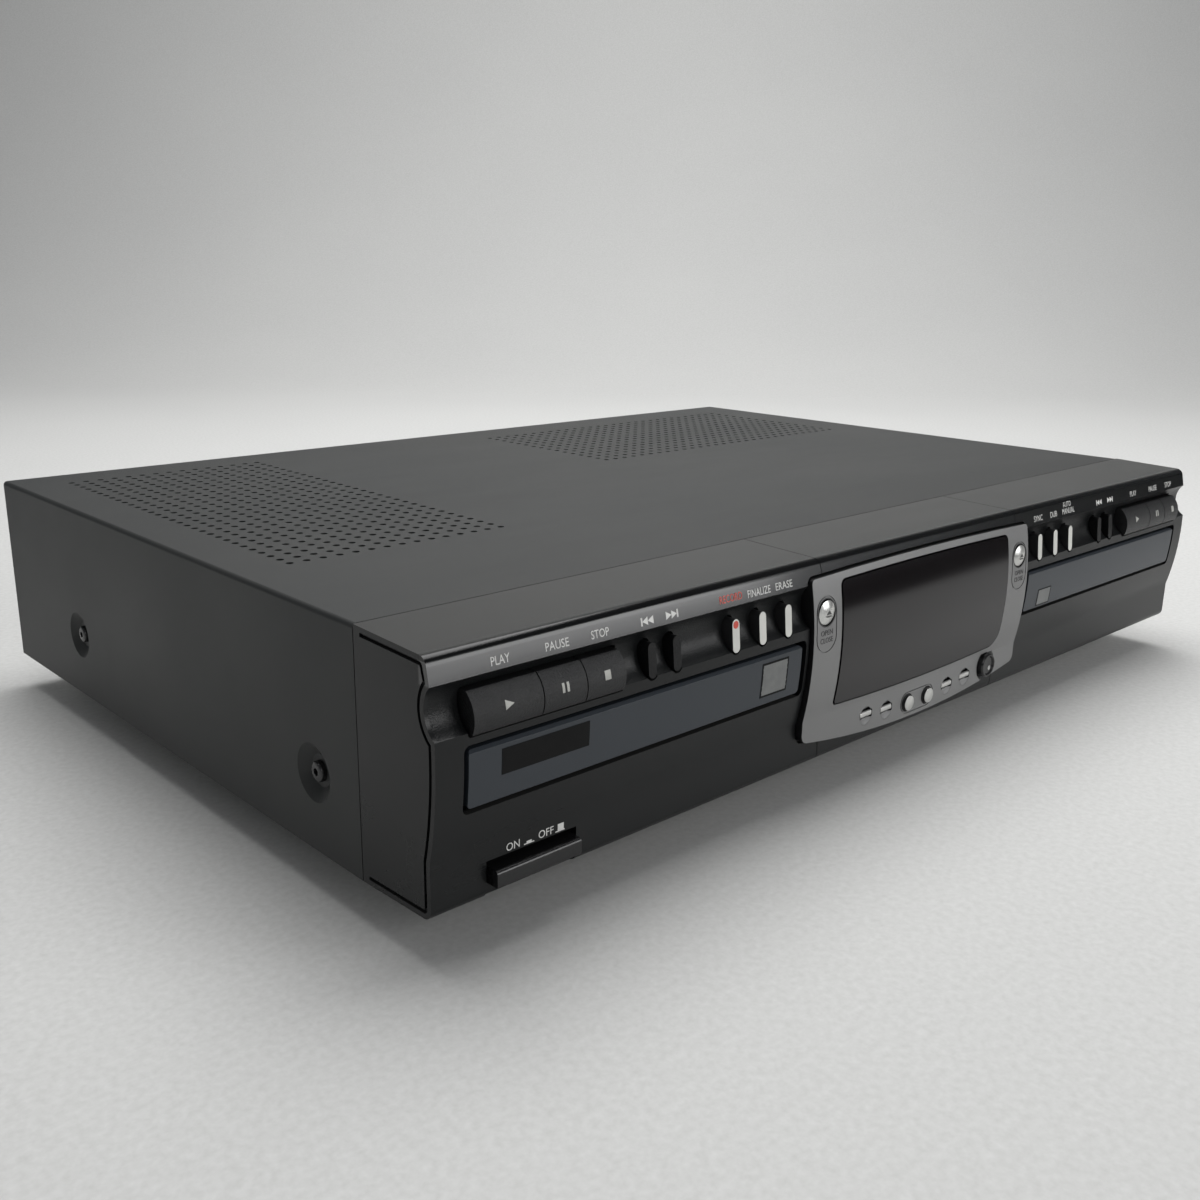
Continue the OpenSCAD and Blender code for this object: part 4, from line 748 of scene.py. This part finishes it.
PLAY = [arrow(0.0, 1.0)]
PAUSE = [block(0.0, 0.34), block(0.66, 1.0)]
STOP = [block(0.0, 1.0)]
KEY_SIGN_Z, KEY_SIGN_TALL = 57.3, 2.6
for side, play_x, pause_x, stop_x in (("left", -195.0, -176.0, -160.7), ("right", 163.9, 184.1, 200.4)):
    for key, patches, x, width in (("play", PLAY, play_x, 2.9), ("pause", PAUSE, pause_x, 2.5),
                                   ("stop", STOP, stop_x, 2.2)):
        print_sign("%s_%s_sign" % (side, key), patches, x, KEY_SIGN_Z, width, KEY_SIGN_TALL, barrel_face,
                   key_ink, "%s_%s_key" % (side, key))

SWITCH_Z = 14.1
PRESSED_IN = [block(0.0, 1.0, 0.0, 0.25), block(0.25, 0.75, 0.25, 0.7)]
LET_OUT = [block(0.0, 1.0, 0.0, 0.14), block(0.25, 0.9, 0.14, 1.0)]
print_word("ON", -190.3, SWITCH_Z, 4.6, LEGEND_TALL, lower_face, pale_ink)
print_word("OFF", -178.6, SWITCH_Z, 5.4, LEGEND_TALL, lower_face, pale_ink)
print_sign("pressed_in_sign", PRESSED_IN, -184.7, 13.5, 3.6, 1.3, lower_face, pale_ink)
print_sign("let_out_sign", LET_OUT, -173.5, 14.0, 3.4, 2.3, lower_face, pale_ink)

EJECT = [[(0.0, 0.4), (1.0, 0.4), (0.5, 1.0), (0.5, 1.0)], block(0.0, 1.0, 0.0, 0.2)]
OPEN_TALL = 1.8
for side, x in (("left", -61.8), ("right", 61.8)):
    print_word("OPEN", x, 49.5, 6.2, OPEN_TALL, bezel_face, dark_ink)
    print_word("CLOSE", x, 46.9, 6.6, OPEN_TALL, bezel_face, dark_ink)
    print_sign(side + "_eject_sign", EJECT, x, 56.0, 2.6, 2.2, open_key_face, dark_ink, side + "_open_key")

DOT_X, DOT_Z, DOT_R = -105.4, 60.25, 1.2
print_ring("record_dot", DOT_X, DOT_Z, 0.0, DOT_R, 6, 32, fin_face, red_ink, "record_key")
# A dark ring just outside each open key's hole is painted shade, standing for the gap round the key.
FLANGE_LAP, SHADE_RING_WIDE = 0.1, 0.45
for side in ("left", "right"):
    low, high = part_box(side + "_open_key")
    x, z = middle_of(side + "_open_key")
    hole_r = (high.x - low.x) / 2 * 1000.0 - FLANGE_LAP
    print_ring(side + "_open_ring", x * 1000.0, (z - CASE_Z) * 1000.0, hole_r, hole_r + SHADE_RING_WIDE, 3, 64,
               bezel_face, dark_ink)


# Bare plates on the tray fronts
# Thin plates are let into the lacquer where a name or a mark would be, one black and two grey with a
# black rim; nothing is printed on them.

def belly_face(z):
    """A cylinder about a line along x."""
    axis_y, axis_z, radius = 114.0, 46.466, 120.0
    return axis_y - np.sqrt(radius ** 2 - (z - axis_z) ** 2)


PLATE = [block(0.0, 1.0)]
RIM = [block(0.0, 1.0, 0.0, 0.06), block(0.0, 1.0, 0.94, 1.0), block(0.0, 0.05, 0.06, 0.94),
       block(0.95, 1.0, 0.06, 0.94)]
RIM_OVER = 1.0
plate_black = finish("plate_black", (0.003, 0.003, 0.0032), (0.005, 0.005, 0.0052), (0.4, 0.5), depth=0.0,
                     cloud=120.0, Specular_IOR_Level=0.12)
plate_grey = finish("plate_grey", (0.13, 0.135, 0.135), (0.17, 0.175, 0.17), (0.35, 0.45), depth=0.0,
                    cloud=300.0)
for name, x, z, width, height, paint, body in (
        ("left_name_plate", -181.2, 41.2, 30.7, 7.4, plate_black, "left_tray"),
        ("left_disc_plate", -86.0, 39.1, 12.0, 10.6, plate_grey, "left_tray"),
        ("right_disc_plate", 87.8, 34.9, 9.5, 6.2, plate_grey, "right_tray")):
    print_sign(name, PLATE, x, z, width, height, belly_face, paint, body)
    if paint is plate_grey:
        print_sign(name + "_rim", RIM, x, z, width + RIM_OVER, height + RIM_OVER, belly_face, plate_black,
                   body)
